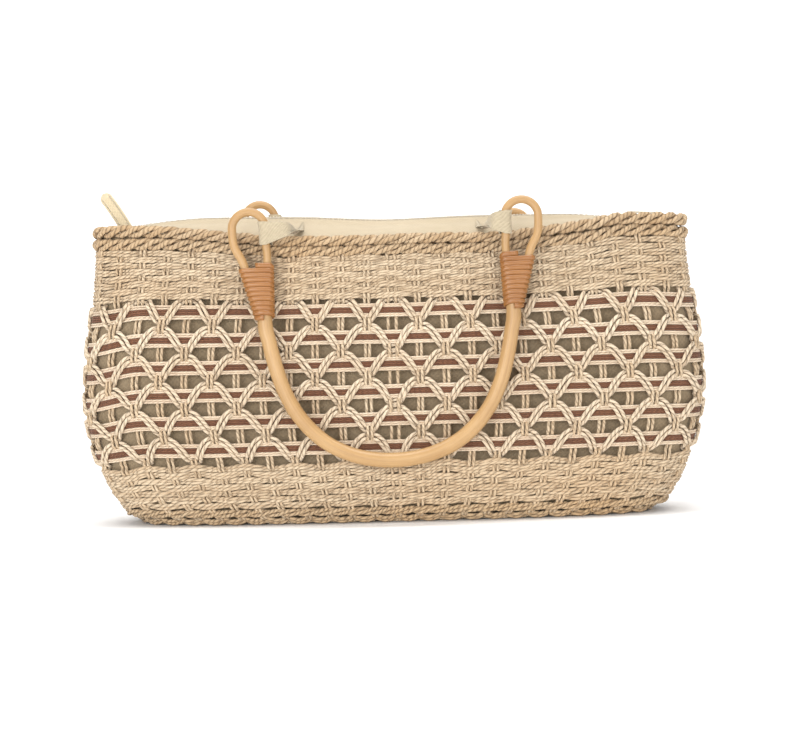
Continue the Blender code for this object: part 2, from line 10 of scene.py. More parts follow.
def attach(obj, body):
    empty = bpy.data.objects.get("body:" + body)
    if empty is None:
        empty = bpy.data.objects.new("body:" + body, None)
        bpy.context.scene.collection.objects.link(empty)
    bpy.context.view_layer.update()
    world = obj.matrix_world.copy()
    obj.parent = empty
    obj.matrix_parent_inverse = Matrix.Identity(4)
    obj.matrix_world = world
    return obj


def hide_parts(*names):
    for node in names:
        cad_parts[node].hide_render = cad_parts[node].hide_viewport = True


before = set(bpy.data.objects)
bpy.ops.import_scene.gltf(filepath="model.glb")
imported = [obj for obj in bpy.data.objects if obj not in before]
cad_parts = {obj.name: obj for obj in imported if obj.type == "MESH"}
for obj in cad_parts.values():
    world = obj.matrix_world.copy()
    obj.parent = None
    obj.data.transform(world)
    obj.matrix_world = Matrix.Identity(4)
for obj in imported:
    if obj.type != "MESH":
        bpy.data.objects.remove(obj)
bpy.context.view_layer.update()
rng = np.random.default_rng(7)
MM = 0.001

# The cord wall, as the solids have it
HEIGHT = 0.190
WIDTH = 0.408
DEPTH = 0.092
SQUARENESS = 3.2
WARPS = 52
BAR_COUNT = 6
BAR_PITCH = 0.0177
FIRST_BAR = 0.0500
BAR_HEIGHT = 0.0092
BORDER_RADIUS = 0.0033
LINING_INSET = 0.0050
LINING_DROP = 0.0062
ZIP_LENGTH = 0.340
ZIP_TAPE_WIDTH = 0.0150
TAIL_WIDTH = 0.0084
TAIL_REACH = 0.0160
TAIL_RISE = 0.0250
CLOTH = 0.0010
GAP = 0.0003
LIFT_START = 0.30
LIFT_POWER = 3
DROOP_START = 0.80
RIGHT_DROOP_SHARE = 0.20

# Columns: height, half width and half depth, as shares
PROFILE = np.array([
    (0.000, 0.812, 0.830), (0.042, 0.872, 0.900), (0.115, 0.921, 0.945), (0.200, 0.953, 0.980),
    (0.300, 0.981, 1.000), (0.442, 1.000, 0.980), (0.630, 0.990, 0.910), (0.747, 0.971, 0.865),
    (0.868, 0.956, 0.815), (1.000, 0.947, 0.765),
])
# Columns: place across, lift, as shares
RIM_LIFT = np.array([
    (-1.00, 0.040), (-0.83, 0.034), (-0.65, 0.020), (-0.50, 0.001), (-0.35, -0.018), (0.33, -0.018),
    (0.50, -0.003), (0.64, 0.013), (0.78, 0.040), (0.88, 0.040), (1.00, 0.032),
])
END_DROOP = np.array([
    (0.00, 0.000), (0.06, 0.000), (0.22, 0.020), (0.45, 0.032), (0.68, 0.030), (0.90, 0.000), (1.00, 0.000),
])
ZIP_LINE = np.array([
    (-0.93, 0.014), (-0.58, 0.050), (-0.30, 0.045), (0.00, 0.029), (0.27, 0.035), (0.55, 0.032), (0.78, 0.010),
    (0.93, 0.001),
])


def smoothstep(t):
    t = np.clip(t, 0.0, 1.0)
    return t * t * (3 - 2 * t)


def table_value(table, at, column):
    """Smooth value of a table's column, without overshoot."""
    x, y = table[:, 0], table[:, column]
    at = np.clip(at, x[0], x[-1])
    step = np.diff(x)
    rise = np.diff(y) / step
    slope = np.zeros(len(x))
    same = rise[:-1] * rise[1:] > 0
    both = np.where(same, rise[:-1] + rise[1:], 1.0)
    slope[1:-1] = np.where(same, 2 * rise[:-1] * rise[1:] / both, 0.0)
    slope[0], slope[-1] = rise[0], rise[-1]
    i = np.clip(np.searchsorted(x, at, side="right") - 1, 0, len(x) - 2)
    t = (at - x[i]) / step[i]
    return (
        y[i] * (2 * t**3 - 3 * t**2 + 1)
        + slope[i] * step[i] * (t**3 - 2 * t**2 + t)
        + y[i + 1] * (3 * t**2 - 2 * t**3)
        + slope[i + 1] * step[i] * (t**3 - t**2)
    )


def rounded(angle):
    s, c = np.sin(angle), np.cos(angle)
    power = 2 / SQUARENESS
    return np.sign(s) * np.abs(s) ** power, -np.sign(c) * np.abs(c) ** power


def even_run(steps=1440):
    angle = 2 * math.pi * np.arange(steps + 1) / steps
    x, y = rounded(angle)
    x, y = x * WIDTH / 2 * PROFILE[-1, 1], y * DEPTH / 2 * PROFILE[-1, 2]
    run = np.concatenate([[0.0], np.cumsum(np.hypot(np.diff(x), np.diff(y)))])
    return angle, run / run[-1]


ANGLES, RUN = even_run()


def turn_angle(turn):
    whole = np.floor(turn)
    return 2 * math.pi * whole + np.interp(turn - whole, RUN, ANGLES)


def half_sizes(share):
    return WIDTH / 2 * table_value(PROFILE, share, 1), DEPTH / 2 * table_value(PROFILE, share, 2)


def sway(across, share):
    rise = np.clip((share - LIFT_START) / (1 - LIFT_START), 0, 1.2)
    lift = table_value(RIM_LIFT, across, 1) * rise**LIFT_POWER
    end = smoothstep((np.abs(across) - DROOP_START) / (1 - DROOP_START))
    end = end * np.where(across > 0, RIGHT_DROOP_SHARE, 1.0)
    return HEIGHT * (lift - end * table_value(END_DROOP, share, 1))


def wall_point(turn, height):
    turn, height = np.broadcast_arrays(np.asarray(turn, float), np.asarray(height, float))
    share = height / HEIGHT
    half_width, half_depth = half_sizes(share)
    across, along = rounded(turn_angle(turn))
    return np.stack([half_width * across, half_depth * along, height + sway(across, share)], -1)


def unit(v):
    return v / np.maximum(np.linalg.norm(v, axis=-1, keepdims=True), 1e-12)


def wall_normal(turn, height):
    along = wall_point(turn + 0.003, height) - wall_point(turn - 0.003, height)
    above, below = np.minimum(height + MM, HEIGHT), np.maximum(height - MM, 0.0)
    up = wall_point(turn, above) - wall_point(turn, below)
    return unit(np.cross(along, up))


def wall(turn, height, out=0.0):
    turn, height, out = np.broadcast_arrays(*(np.asarray(v, float) for v in (turn, height, out)))
    normal = wall_normal(turn, height)
    return wall_point(turn, height) + normal * out[..., None], normal


def wander(count, knots, size, closed=True):
    """Smooth random wandering with about so many swings along a cord."""
    t = np.arange(count) / (count if closed else max(1, count - 1))
    total = np.zeros(count)
    for _ in range(4):
        waves = max(1, int(knots * rng.uniform(0.4, 1.2)))
        total += np.sin(2 * math.pi * (waves * t + rng.uniform()))
    return total * size / 2


# Mesh building


class Strands:
    """Many cords or ribbons joined in one mesh, with their length and turn kept as UVs and a tint for each."""

    def __init__(self):
        self.points, self.faces, self.uvs, self.tints, self.count = [], [], [], [], 0

    def tube(self, path, out, radius, sides=6, closed=False, flat=1.0, pitch=0.0052, tint=None):
        """One cord along a path: out is the direction its flat side faces, flat the share of that thickness."""
        n = len(path)
        if closed:
            along = np.roll(path, -1, 0) - np.roll(path, 1, 0)
        else:
            along = np.gradient(path, axis=0)
        along = unit(along)
        out = unit(out - along * np.sum(out * along, -1, keepdims=True))
        side = np.cross(along, out)
        step = np.linalg.norm(np.diff(path, axis=0), axis=1)
        run = np.concatenate([[0.0], np.cumsum(step)])
        radius = np.broadcast_to(np.asarray(radius, float), (n,))
        a = 2 * math.pi * np.arange(sides) / sides
        ring = (
            path[:, None]
            + side[:, None] * (np.cos(a)[None] * radius[:, None])[..., None]
            + out[:, None] * (np.sin(a)[None] * radius[:, None] * flat)[..., None]
        )
        turns = n if closed else n - 1
        i = np.arange(turns)[:, None]
        k = np.arange(sides)[None]
        j, m = (i + 1) % n, (k + 1) % sides
        quads = np.stack([i * sides + k, i * sides + m, j * sides + m, j * sides + k], -1).reshape(-1, 4)
        whole = run[-1] + (np.linalg.norm(path[0] - path[-1]) if closed else 0.0)
        laps = max(1.0, round(whole / pitch)) if closed else whole / pitch
        u = np.concatenate([run, [whole]]) / whole * laps
        low = np.broadcast_to(u[:-1][:turns, None], (turns, sides))
        high = np.broadcast_to(u[1:][:turns, None], (turns, sides))
        left = np.broadcast_to(k / sides, (turns, sides))
        right = np.broadcast_to((k + 1) / sides, (turns, sides))
        uv = np.stack([np.stack([low, left], -1), np.stack([low, right], -1),
                       np.stack([high, right], -1), np.stack([high, left], -1)], -2).reshape(-1, 2)
        self.points.append(ring.reshape(-1, 3))
        self.faces.append(quads + self.count)
        self.uvs.append(uv)
        self.tints.append(np.full(n * sides, rng.uniform() if tint is None else tint))
        if not closed:
            for end, at in ((0, 0), (1, n - 1)):
                centre = self.count + n * sides + end
                self.points.append(path[at][None])
                self.tints.append(np.full(1, self.tints[-1][0]))
                kk = np.arange(sides)
                first, second = at * sides + kk, at * sides + (kk + 1) % sides
                if end == 0:
                    first, second = second, first
                tri = np.stack([np.full(sides, centre), first + self.count, second + self.count,
                                np.full(sides, -1)], -1)
                self.faces.append(tri)
                self.uvs.append(np.tile(np.array([[u[0] if end == 0 else u[-1], 0.5]]), (3 * sides, 1)))
            self.count += 2
        self.count += n * sides

    def grid(self, points, closed=False):
        """A sheet through rows of points."""
        rows, cols = points.shape[:2]
        last = cols if closed else cols - 1
        i, k = np.arange(rows - 1)[:, None], np.arange(last)[None]
        m = (k + 1) % cols
        quads = np.stack([i * cols + k, i * cols + m, (i + 1) * cols + m, (i + 1) * cols + k], -1)
        run = np.concatenate([[0], np.cumsum(np.linalg.norm(np.diff(points[rows // 2], axis=0), axis=1))])
        rise = np.concatenate([[0], np.cumsum(np.linalg.norm(np.diff(points[:, cols // 2], axis=0), axis=1))])
        if closed:
            run = np.append(run, run[-1] + np.linalg.norm(points[rows // 2, 0] - points[rows // 2, -1]))
        u0 = np.broadcast_to(run[:-1][:last], (rows - 1, last))
        u1 = np.broadcast_to(run[1:][:last], (rows - 1, last))
        v0 = np.broadcast_to(rise[:-1, None], (rows - 1, last))
        v1 = np.broadcast_to(rise[1:, None], (rows - 1, last))
        uv = np.stack([np.stack([u0, v0], -1), np.stack([u1, v0], -1), np.stack([u1, v1], -1),
                       np.stack([u0, v1], -1)], -2).reshape(-1, 2)
        self.points.append(points.reshape(-1, 3))
        self.faces.append(quads.reshape(-1, 4) + self.count)
        self.uvs.append(uv)
        self.tints.append(np.full(rows * cols, 0.5))
        self.count += rows * cols

    def make(self, name, material, slot, replaced=()):
        points = np.concatenate(self.points).astype(np.float32)
        faces = np.concatenate(self.faces)
        sizes = np.where(faces[:, 3] < 0, 3, 4)
        mesh = bpy.data.meshes.new(name)
        mesh.vertices.add(len(points))
        mesh.vertices.foreach_set("co", points.ravel())
        loops = faces.ravel()
        loops = loops[loops >= 0]
        mesh.loops.add(len(loops))
        mesh.loops.foreach_set("vertex_index", loops.astype(np.int32))
        mesh.polygons.add(len(faces))
        mesh.polygons.foreach_set("loop_start", np.concatenate([[0], np.cumsum(sizes)[:-1]]).astype(np.int32))
        mesh.update(calc_edges=True)
        layer = mesh.uv_layers.new(name="Lay")
        layer.data.foreach_set("uv", np.concatenate(self.uvs).astype(np.float32).ravel())
        tint = mesh.attributes.new("tint", "FLOAT", "POINT")
        tint.data.foreach_set("value", np.concatenate(self.tints).astype(np.float32))
        mesh.validate()
        mesh.shade_smooth()
        mesh.materials.append(material)
        made = bpy.data.objects.new(name, mesh)
        bpy.context.scene.collection.objects.link(made)
        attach(made, "root")
        if replaced:
            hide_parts(*replaced)
        return made


# Materials


class Nodes:
    """Short calls for building one material's node tree."""

    def __init__(self, name):
        self.material = bpy.data.materials.new(name)
        self.material.use_nodes = True
        self.tree = self.material.node_tree
        self.shader = self.tree.nodes["Principled BSDF"]

    def add(self, kind, **values):
        node = self.tree.nodes.new(kind)
        for key, value in values.items():
            setattr(node, key, value)
        return node

    def link(self, source, target):
        self.tree.links.new(source, target)

    def put(self, socket, value):
        if hasattr(value, "links") or isinstance(value, bpy.types.NodeSocket):
            self.link(value, socket)
        else:
            socket.default_value = value

    def math(self, operation, a, b=0.0):
        node = self.add("ShaderNodeMath", operation=operation)
        for socket, value in zip(node.inputs, (a, b)):
            self.put(socket, value)
        return node.outputs[0]

    def noise(self, vector, scale, detail=3.0, rough=0.55):
        node = self.add("ShaderNodeTexNoise")
        self.link(vector, node.inputs["Vector"])
        node.inputs["Scale"].default_value = scale
        node.inputs["Detail"].default_value = detail
        node.inputs["Roughness"].default_value = rough
        return node.outputs["Fac"]

    def mix(self, factor, a, b):
        node = self.add("ShaderNodeMix", data_type="RGBA")
        self.put(node.inputs[0], factor)
        self.put(node.inputs[6], a)
        self.put(node.inputs[7], b)
        return node.outputs[2]

    def spread(self, value, low, high, first=0.0, last=1.0):
        node = self.add("ShaderNodeMapRange")
        for socket, item in zip(node.inputs, (value, low, high, first, last)):
            self.put(socket, item)
        return node.outputs[0]

    def stretch(self, vector, scale):
        node = self.add("ShaderNodeMapping")
        self.link(vector, node.inputs["Vector"])
        node.inputs["Scale"].default_value = scale
        return node.outputs[0]

    def bump(self, height, strength, distance, under=None):
        node = self.add("ShaderNodeBump")
        node.inputs["Strength"].default_value = strength
        node.inputs["Distance"].default_value = distance
        self.link(height, node.inputs["Height"])
        if under is not None:
            self.link(under, node.inputs["Normal"])
        return node.outputs[0]


def rgb(*values):
    return (*values, 1.0)


def cord_material(name, light, dark, ply_shade_and_fibre, warm, plies=3, roughness=0.85, twist=0.9):
    """Twisted cord: plies and fibres that follow the twist, painted shade in the grooves between plies, in a
    colour that drifts from cord to cord.
    """
    n = Nodes(name)
    lay = n.add("ShaderNodeUVMap", uv_map="Lay").outputs[0]
    place = n.add("ShaderNodeTexCoord").outputs["Object"]
    split = n.add("ShaderNodeSeparateXYZ")
    n.link(lay, split.inputs[0])
    along, around = split.outputs[0], split.outputs[1]
    tint = n.add("ShaderNodeAttribute", attribute_name="tint").outputs["Fac"]
    wobble = n.math("MULTIPLY", n.noise(place, 70.0, 1.0), 0.8)
    phase = n.math("ADD", n.math("SUBTRACT", along, around), wobble)
    ply = n.math("ABSOLUTE", n.math("SINE", n.math("MULTIPLY", phase, math.pi * plies)))
    height = n.math("POWER", ply, 0.55)
    fibre_place = n.add("ShaderNodeCombineXYZ")
    n.link(n.math("MULTIPLY", phase, 9.0), fibre_place.inputs[0])
    n.link(n.math("MULTIPLY", n.math("ADD", along, around), 0.9), fibre_place.inputs[1])
    n.link(n.math("MULTIPLY", tint, 37.0), fibre_place.inputs[2])
    fibre = n.noise(fibre_place.outputs[0], 2.2, 3.0, 0.65)
    blotch = n.noise(place, 26.0, 3.0, 0.6)
    drift = n.math("ADD", n.math("MULTIPLY", blotch, 0.75), n.math("MULTIPLY", tint, 0.45))
    base = n.mix(n.spread(drift, 0.35, 0.95), rgb(*dark), rgb(*light))
    base = n.mix(n.spread(n.noise(place, 11.0, 2.0), 0.50, 0.80, 0.0, 0.55), base, rgb(*warm))
    # Painted shade: the valleys between the plies darken toward the ply shade colour.
    base = n.mix(n.spread(ply, 0.0, 0.62, 0.72, 0.0), base, rgb(*ply_shade_and_fibre))
    # Darker fibres along the twist, in the same ply shade colour.
    base = n.mix(n.spread(fibre, 0.35, 0.75, 0.30, 0.0), base, rgb(*ply_shade_and_fibre))
    n.link(base, n.shader.inputs["Base Color"])
    n.shader.inputs["Roughness"].default_value = roughness
    n.shader.inputs["Specular IOR Level"].default_value = 0.22
    n.shader.inputs["Sheen Weight"].default_value = 0.08
    n.shader.inputs["Sheen Roughness"].default_value = 0.6
    normal = n.bump(height, twist, 0.0007)
    n.link(n.bump(fibre, 0.55, 0.0003, normal), n.shader.inputs["Normal"])
    return n.material


def cloth_material(name, light, dark, count=1500.0, twill=False, strength=0.5, roughness=0.9):
    """Woven cloth with its threads as relief, painted shade between the threads and a soft uneven colour."""
    n = Nodes(name)
    lay = n.add("ShaderNodeUVMap", uv_map="Lay").outputs[0]
    place = n.add("ShaderNodeTexCoord").outputs["Object"]
    split = n.add("ShaderNodeSeparateXYZ")
    n.link(lay, split.inputs[0])
    across, up = split.outputs[0], split.outputs[1]
    if twill:
        ridge = n.math("SINE", n.math("MULTIPLY", n.math("ADD", across, up), count * 2.6))
        cross = n.math("SINE", n.math("MULTIPLY", n.math("SUBTRACT", across, up), count * 1.3))
        weave = n.math("ADD", n.math("MULTIPLY", ridge, 0.7), n.math("MULTIPLY", cross, 0.3))
    else:
        one = n.math("SINE", n.math("MULTIPLY", across, count * 2))
        two = n.math("SINE", n.math("MULTIPLY", up, count * 2))
        weave = n.math("MULTIPLY", one, two)
    slub = n.noise(n.stretch(place, (60.0, 60.0, 420.0)), 1.6, 3.0, 0.6)
    cloud = n.noise(place, 18.0, 3.0, 0.6)
    base = n.mix(n.spread(cloud, 0.3, 0.75), rgb(*dark), rgb(*light))
    # Painted shade where the threads dip between crossings.
    base = n.mix(n.spread(weave, -1.0, 1.0, 0.28, 0.0), base, rgb(*(c * 0.55 for c in dark)))
    base = n.mix(n.spread(slub, 0.40, 0.8, 0.25, 0.0), base, rgb(*(c * 0.7 for c in dark)))
    n.link(base, n.shader.inputs["Base Color"])
    n.shader.inputs["Roughness"].default_value = roughness
    n.shader.inputs["Specular IOR Level"].default_value = 0.2
    n.shader.inputs["Sheen Weight"].default_value = 0.2
    normal = n.bump(weave, strength, 0.0002)
    n.link(n.bump(slub, 0.3, 0.0004, normal), n.shader.inputs["Normal"])
    return n.material


def cane_material(name, light, dark, streak, rough=0.34, stretch=1.0, coat=0.3):
    """Peeled cane: long fibres, darker streaks and pores under a thin varnish."""
    n = Nodes(name)
    lay = n.add("ShaderNodeUVMap", uv_map="Lay").outputs[0]
    place = n.add("ShaderNodeTexCoord").outputs["Object"]
    tint = n.add("ShaderNodeAttribute", attribute_name="tint").outputs["Fac"]
    split = n.add("ShaderNodeSeparateXYZ")
    n.link(lay, split.inputs[0])
    ring = n.math("MULTIPLY", split.outputs[1], 2 * math.pi)
    grain_place = n.add("ShaderNodeCombineXYZ")
    n.link(n.math("MULTIPLY", split.outputs[0], 0.10 * stretch), grain_place.inputs[0])
    n.link(n.math("MULTIPLY", n.math("COSINE", ring), 2.6), grain_place.inputs[1])
    n.link(n.math("MULTIPLY", n.math("SINE", ring), 2.6), grain_place.inputs[2])
    fine = n.noise(grain_place.outputs[0], 9.0, 4.0, 0.65)
    broad = n.noise(grain_place.outputs[0], 1.5, 3.0, 0.55)
    patch = n.noise(place, 34.0, 2.0, 0.5)
    mixed = n.math("ADD", n.math("MULTIPLY", broad, 0.55), n.math("MULTIPLY", patch, 0.45))
    base = n.mix(n.spread(mixed, 0.30, 0.70), rgb(*dark), rgb(*light))
    base = n.mix(n.spread(fine, 0.52, 0.80, 0.0, 0.55), base, rgb(*streak))
    base = n.mix(n.math("MULTIPLY", tint, 0.25), base, rgb(*streak))
    n.link(base, n.shader.inputs["Base Color"])
    n.link(n.spread(fine, 0.3, 0.8, rough, rough + 0.16), n.shader.inputs["Roughness"])
    n.shader.inputs["Coat Weight"].default_value = coat
    n.shader.inputs["Coat Roughness"].default_value = 0.25
    n.link(n.bump(fine, 0.25, 0.0003), n.shader.inputs["Normal"])
    return n.material


def metal_material(name, colour):
    n = Nodes(name)
    place = n.add("ShaderNodeTexCoord").outputs["Object"]
    wear = n.noise(place, 700.0, 3.0, 0.6)
    n.link(n.mix(n.spread(wear, 0.35, 0.7), rgb(*(c * 0.82 for c in colour)), rgb(*colour)),
           n.shader.inputs["Base Color"])
    n.shader.inputs["Metallic"].default_value = 1.0
    n.link(n.spread(wear, 0.3, 0.7, 0.26, 0.42), n.shader.inputs["Roughness"])
    n.link(n.bump(wear, 0.1, 0.0002), n.shader.inputs["Normal"])
    return n.material


STRAW = dict(light=(0.760, 0.620, 0.440), dark=(0.600, 0.455, 0.300), ply_shade_and_fibre=(0.330, 0.220, 0.125),
             warm=(0.680, 0.470, 0.270))
weft_cord = cord_material("weft_cord", **STRAW)
warp_cord = cord_material("warp_cord", **STRAW, twist=0.7)
net_cord = cord_material("net_cord", (0.830, 0.700, 0.530), (0.700, 0.560, 0.400),
                         (0.400, 0.280, 0.170), (0.760, 0.600, 0.430))
# Rim cord colour; the foot border also takes it as painted shade for its underside.
rim_cord_and_foot_shade = cord_material("rim_cord_and_foot_shade", (0.680, 0.525, 0.345), (0.500, 0.350, 0.205),
                         (0.270, 0.160, 0.075), (0.640, 0.410, 0.200))
bar_cord = cord_material("bar_cord", (0.810, 0.690, 0.525), (0.700, 0.565, 0.410),
                         (0.500, 0.350, 0.240), (0.760, 0.560, 0.420), twist=0.4)
bar_brown = cord_material("bar_brown", (0.250, 0.112, 0.058), (0.165, 0.070, 0.036),
                          (0.080, 0.032, 0.018), (0.230, 0.120, 0.070), twist=0.4)
lining_cloth = cloth_material("lining_cloth", (0.390, 0.300, 0.195), (0.300, 0.225, 0.140), 900.0)
panel_cloth = cloth_material("panel_cloth", (0.600, 0.500, 0.355), (0.540, 0.445, 0.305), 1400.0, strength=0.3)
tab_cloth = cloth_material("tab_cloth", (0.580, 0.490, 0.345), (0.500, 0.415, 0.280), 950.0, twill=True,
                           strength=0.8)
tail_cloth = cloth_material("tail_cloth", (0.780, 0.680, 0.490), (0.700, 0.570, 0.370), 1300.0)
tape_cloth = cloth_material("tape_cloth", (0.820, 0.740, 0.600), (0.760, 0.670, 0.520), 1700.0)
stitch_thread = cord_material("stitch_thread", light=(0.880, 0.820, 0.700), dark=(0.820, 0.740, 0.600),
                              ply_shade_and_fibre=(0.560, 0.470, 0.340), warm=(0.840, 0.770, 0.640), plies=3, roughness=0.6)
cane = cane_material("cane", (0.570, 0.360, 0.160), (0.400, 0.225, 0.085), (0.250, 0.120, 0.042), coat=0.12)
binding_cane = cane_material("binding_cane", (0.400, 0.170, 0.040), (0.290, 0.110, 0.022),
                             (0.160, 0.055, 0.010), rough=0.26, coat=0.40)
zip_metal = metal_material("zip_metal", (0.62, 0.55, 0.42))
zip_teeth_plastic = cloth_material("zip_teeth_plastic", (0.800, 0.730, 0.590), (0.760, 0.680, 0.530), 300.0,
                                   strength=0.05, roughness=0.45)


# Warps: pairs of cords that run up the wall, behind the bars and in front of the knots

CORD = 1.08 * MM
NET_CORD = 1.27 * MM
NET_SPLIT = 1.36 * MM
NET_REACH = 6.9 * MM
STATION = 0.0166
PAIR = 0.084
bars = FIRST_BAR + BAR_PITCH * np.arange(BAR_COUNT)
gaps = (bars[:-1] + bars[1:]) / 2
LOW_ROWS = np.linspace(0.0136, 0.0380, 7)
HIGH_ROWS = np.linspace(0.1482, 0.1738, 8)
WEAVE_OUT = 1.05 * MM
WARP_OUT = 0.95 * MM
BAR_STRAND = 0.70 * MM
RIM_CORD = 1.85 * MM
RIM_WAVE = 0.3 * MM
ROPE_STRANDS = 3
BASE_STEP = 0.0164
PANEL_BULGE = 1.6 * MM
HEM = 1.6 * MM


def bell(x, near, far):
    """1 within near of zero, 0 past far."""
    return 1 - smoothstep((np.abs(x) - near) / (far - near))


def knot_parity(i):
    return (i + 1) % 2


def warp_out(j, z):
    out = np.full(z.shape, -0.2 * MM)
    for rows, offset in ((LOW_ROWS, 1), (HIGH_ROWS, 1)):
        pitch = rows[1] - rows[0]
        inside = (z > rows[0] - pitch) & (z < rows[-1] + pitch)
        phase = np.cos(math.pi * ((z - rows[0]) / pitch + j + offset))
        out = np.where(inside, WARP_OUT * phase, out)
    for bar in bars:
        out += (-1.5 * MM - out) * bell(z - bar, BAR_HEIGHT * 0.42, BAR_HEIGHT * 0.80)
    for i, gap in enumerate(gaps):
        if (j - knot_parity(i)) % 2 == 0:
            out += (1.75 * MM - out) * bell(z - gap, 3.4 * MM, 5.6 * MM)
    return out


def build_warps():
    strands = Strands()
    z = np.linspace(0.0040, HEIGHT - 0.0120, 84)
    for j in range(WARPS):
        lean = rng.normal(0, 0.018)
        for hand in (-1, 1):
            drift = wander(len(z), 4, 0.010, closed=False)
            turn = (j + lean * np.sin(math.pi * z / HEIGHT) + hand * PAIR + drift) / WARPS
            path, out = wall(turn, z, warp_out(j, z))
            strands.tube(path, out, CORD * rng.uniform(0.93, 1.07), pitch=0.0125)
    strands.make("warps", warp_cord, "straw")


# Bands: pairs of wefts that pass over one warp and under the next


def weft_rows(strands, rows, offset, radius, tint_shift=0.0, lift=None):
    stations = WARPS * 9
    s = np.arange(stations) / 9
    pitch = rows[1] - rows[0]
    for r, row in enumerate(rows):
        over = -np.cos(math.pi * (s + r + offset))
        shape = np.sign(over) * np.abs(over) ** 0.75
        for hand in (-1, 1):
            squeeze = 1 - 0.10 * (1 - over) / 2
            height = row + hand * pitch * 0.245 * squeeze + wander(stations, 26, 0.16 * MM)
            height = height + 0.25 * MM * np.sin(2 * math.pi * (s / 2 + 0.13 * r))
            if lift is not None:
                height = height + lift(s, row)
            out = 0.15 * MM + WEAVE_OUT * shape + wander(stations, 30, 0.12 * MM)
            path, normal = wall(s / WARPS, height, out)
            thick = radius * (1 + 0.07 * over) * rng.uniform(0.95, 1.05)
            strands.tube(path, normal, thick, closed=True, pitch=0.0145, flat=0.85,
                         tint=float(np.clip(rng.uniform() + tint_shift, 0, 1)))


def build_bands():
    def arch(s, row):
        """The first wefts over the openwork's foot bulge up between the tied warps."""
        return 0.0012 * np.cos(math.pi * s) * math.exp(-((LOW_ROWS[-1] - row) / 0.006) ** 2)

    low = Strands()
    weft_rows(low, LOW_ROWS, 1, 1.17 * MM, lift=arch)
    low.make("lower_wefts", weft_cord, "straw", ["lower_band"])
    high = Strands()
    weft_rows(high, HIGH_ROWS, 1, 1.10 * MM)
    high.make("upper_wefts", weft_cord, "straw", ["upper_band"])


# Openwork: level bars, and a pair of cords zigzagging over each


def build_bars():
    """Seven thin strands a bar: a pale pair, three brown and a pale pair."""
    pale, brown = Strands(), Strands()
    stations = WARPS * 4
    s = np.arange(stations) / 4
    lanes = np.array([-3.80, -2.55, -1.16, 0.0, 1.16, 2.55, 3.80]) * MM
    for bar in bars:
        sag = wander(stations, 9, 0.20 * MM)
        for lane, place in enumerate(lanes):
            height = bar + place + sag + wander(stations, 20, 0.07 * MM)
            press = np.cos(math.pi * 2 * s)
            path, normal = wall(s / WARPS, height, 0.55 * MM + 0.15 * MM * press)
            target = brown if 2 <= lane <= 4 else pale
            tint = (0.25, 0.95, 0.45)[lane - 2] if target is brown else rng.uniform()
            target.tube(path, normal, BAR_STRAND, closed=True, pitch=0.0110, flat=0.9, tint=tint)
    pale.make("bar_pale_strands", bar_cord, "openwork_cord")
    brown.make("bar_brown_strands", bar_brown, "openwork_cord")


def wave_path(i, count):
    """Place round, height and depth of the zigzag over one bar, before it is split into two cords."""
    s = WARPS * np.arange(count) / count
    down = knot_parity(i - 1)
    reach = np.linspace(0, 1, 400)
    fall = smoothstep(reach / 0.72) * smoothstep((1 - reach) / 0.24)
    shape = 1 - 2 * np.cumsum(fall) / fall.sum()
    from_peak = np.abs((s - down) % 2 - 1)
    rise = np.interp(from_peak, reach, shape)
    side = 1 if i == BAR_COUNT - 1 else -1 if i == 0 else 0
    height = rise * NET_REACH + side * 1.3 * MM * np.clip(rise * side, 0, 1)
    near = np.abs(s - np.round(s))
    hidden = bell(near, 0.11, 0.27)
    tucked = smoothstep((height * side - 4.4 * MM) / (2.0 * MM)) if side else 0.0
    height = bars[i] + height
    out = (2.25 - 3.25 * hidden) * MM * (1 - tucked) - 2.0 * MM * tucked
    return s, height, out


def build_waves():
    count = WARPS * 14
    for part, members in (("lower", range(0, 3)), ("upper", range(3, 6))):
        strands = Strands()
        for i in members:
            s, height, out = wave_path(i, count)
            ds = np.roll(s, -1) - np.roll(s, 1)
            ds = np.where(ds < 0, ds + WARPS, ds)
            dx = ds * STATION
            dz = np.roll(height, -1) - np.roll(height, 1)
            length = np.hypot(dx, dz)
            for hand in (-1, 1):
                gap = hand * NET_SPLIT * (1 + wander(count, 40, 0.08))
                turn = s - dz / length * gap / STATION
                level = height + dx / length * gap
                swell = wander(count, 60, 0.12 * MM)
                path, normal = wall(turn / WARPS, level + wander(count, 30, 0.10 * MM), out + swell)
                thick = NET_CORD * rng.uniform(0.96, 1.04)
                strands.tube(path, normal, thick, closed=True, pitch=0.0135)
        strands.make(f"net_waves_{part}", net_cord, "openwork_cord", ["openwork"] if part == "lower" else ())


# Rim: two ropes of slanting strokes


def rope(strands, height, out, radius, turns, flat=1.0, phase=0.0, per_turn=16):
    count = turns * per_turn
    s = np.arange(count) / count
    for k in range(ROPE_STRANDS):
        a = 2 * math.pi * turns * s + 2 * math.pi * k / ROPE_STRANDS + phase
        a = a + wander(count, turns * 2, 0.10)
        ring = radius * (1 + wander(count, turns * 3, 0.05))
        level = height(s) + np.sin(a) * ring * flat
        depth = out + np.cos(a) * ring
        path, normal = wall(s, np.minimum(level, HEIGHT * 1.04), depth)
        centre = wall(s, height(s), out)[0]
        strands.tube(path, path - centre + normal * 1e-6, RIM_CORD * rng.uniform(0.92, 1.06),
                     closed=True, pitch=0.0135, tint=rng.uniform(0.1, 0.9))


def build_rim():
    top, under = Strands(), Strands()
    rope(top, lambda s: HEIGHT - 3.9 * MM + RIM_WAVE * np.sin(2 * math.pi * 9 * s), 0.1 * MM, 2.10 * MM, 28,
         flat=1.02)
    top.make("rim_rope_top", rim_cord_and_foot_shade, "straw", ["rim_braid"])
    rope(under, lambda s: HEIGHT - 10.9 * MM + RIM_WAVE * np.sin(2 * math.pi * 11 * s + 1), -0.1 * MM,
         2.05 * MM, 29, flat=1.08, phase=0.4)
    under.make("rim_rope_under", rim_cord_and_foot_shade, "straw")


# Foot: a twined border, scalloped wefts under it and the woven base


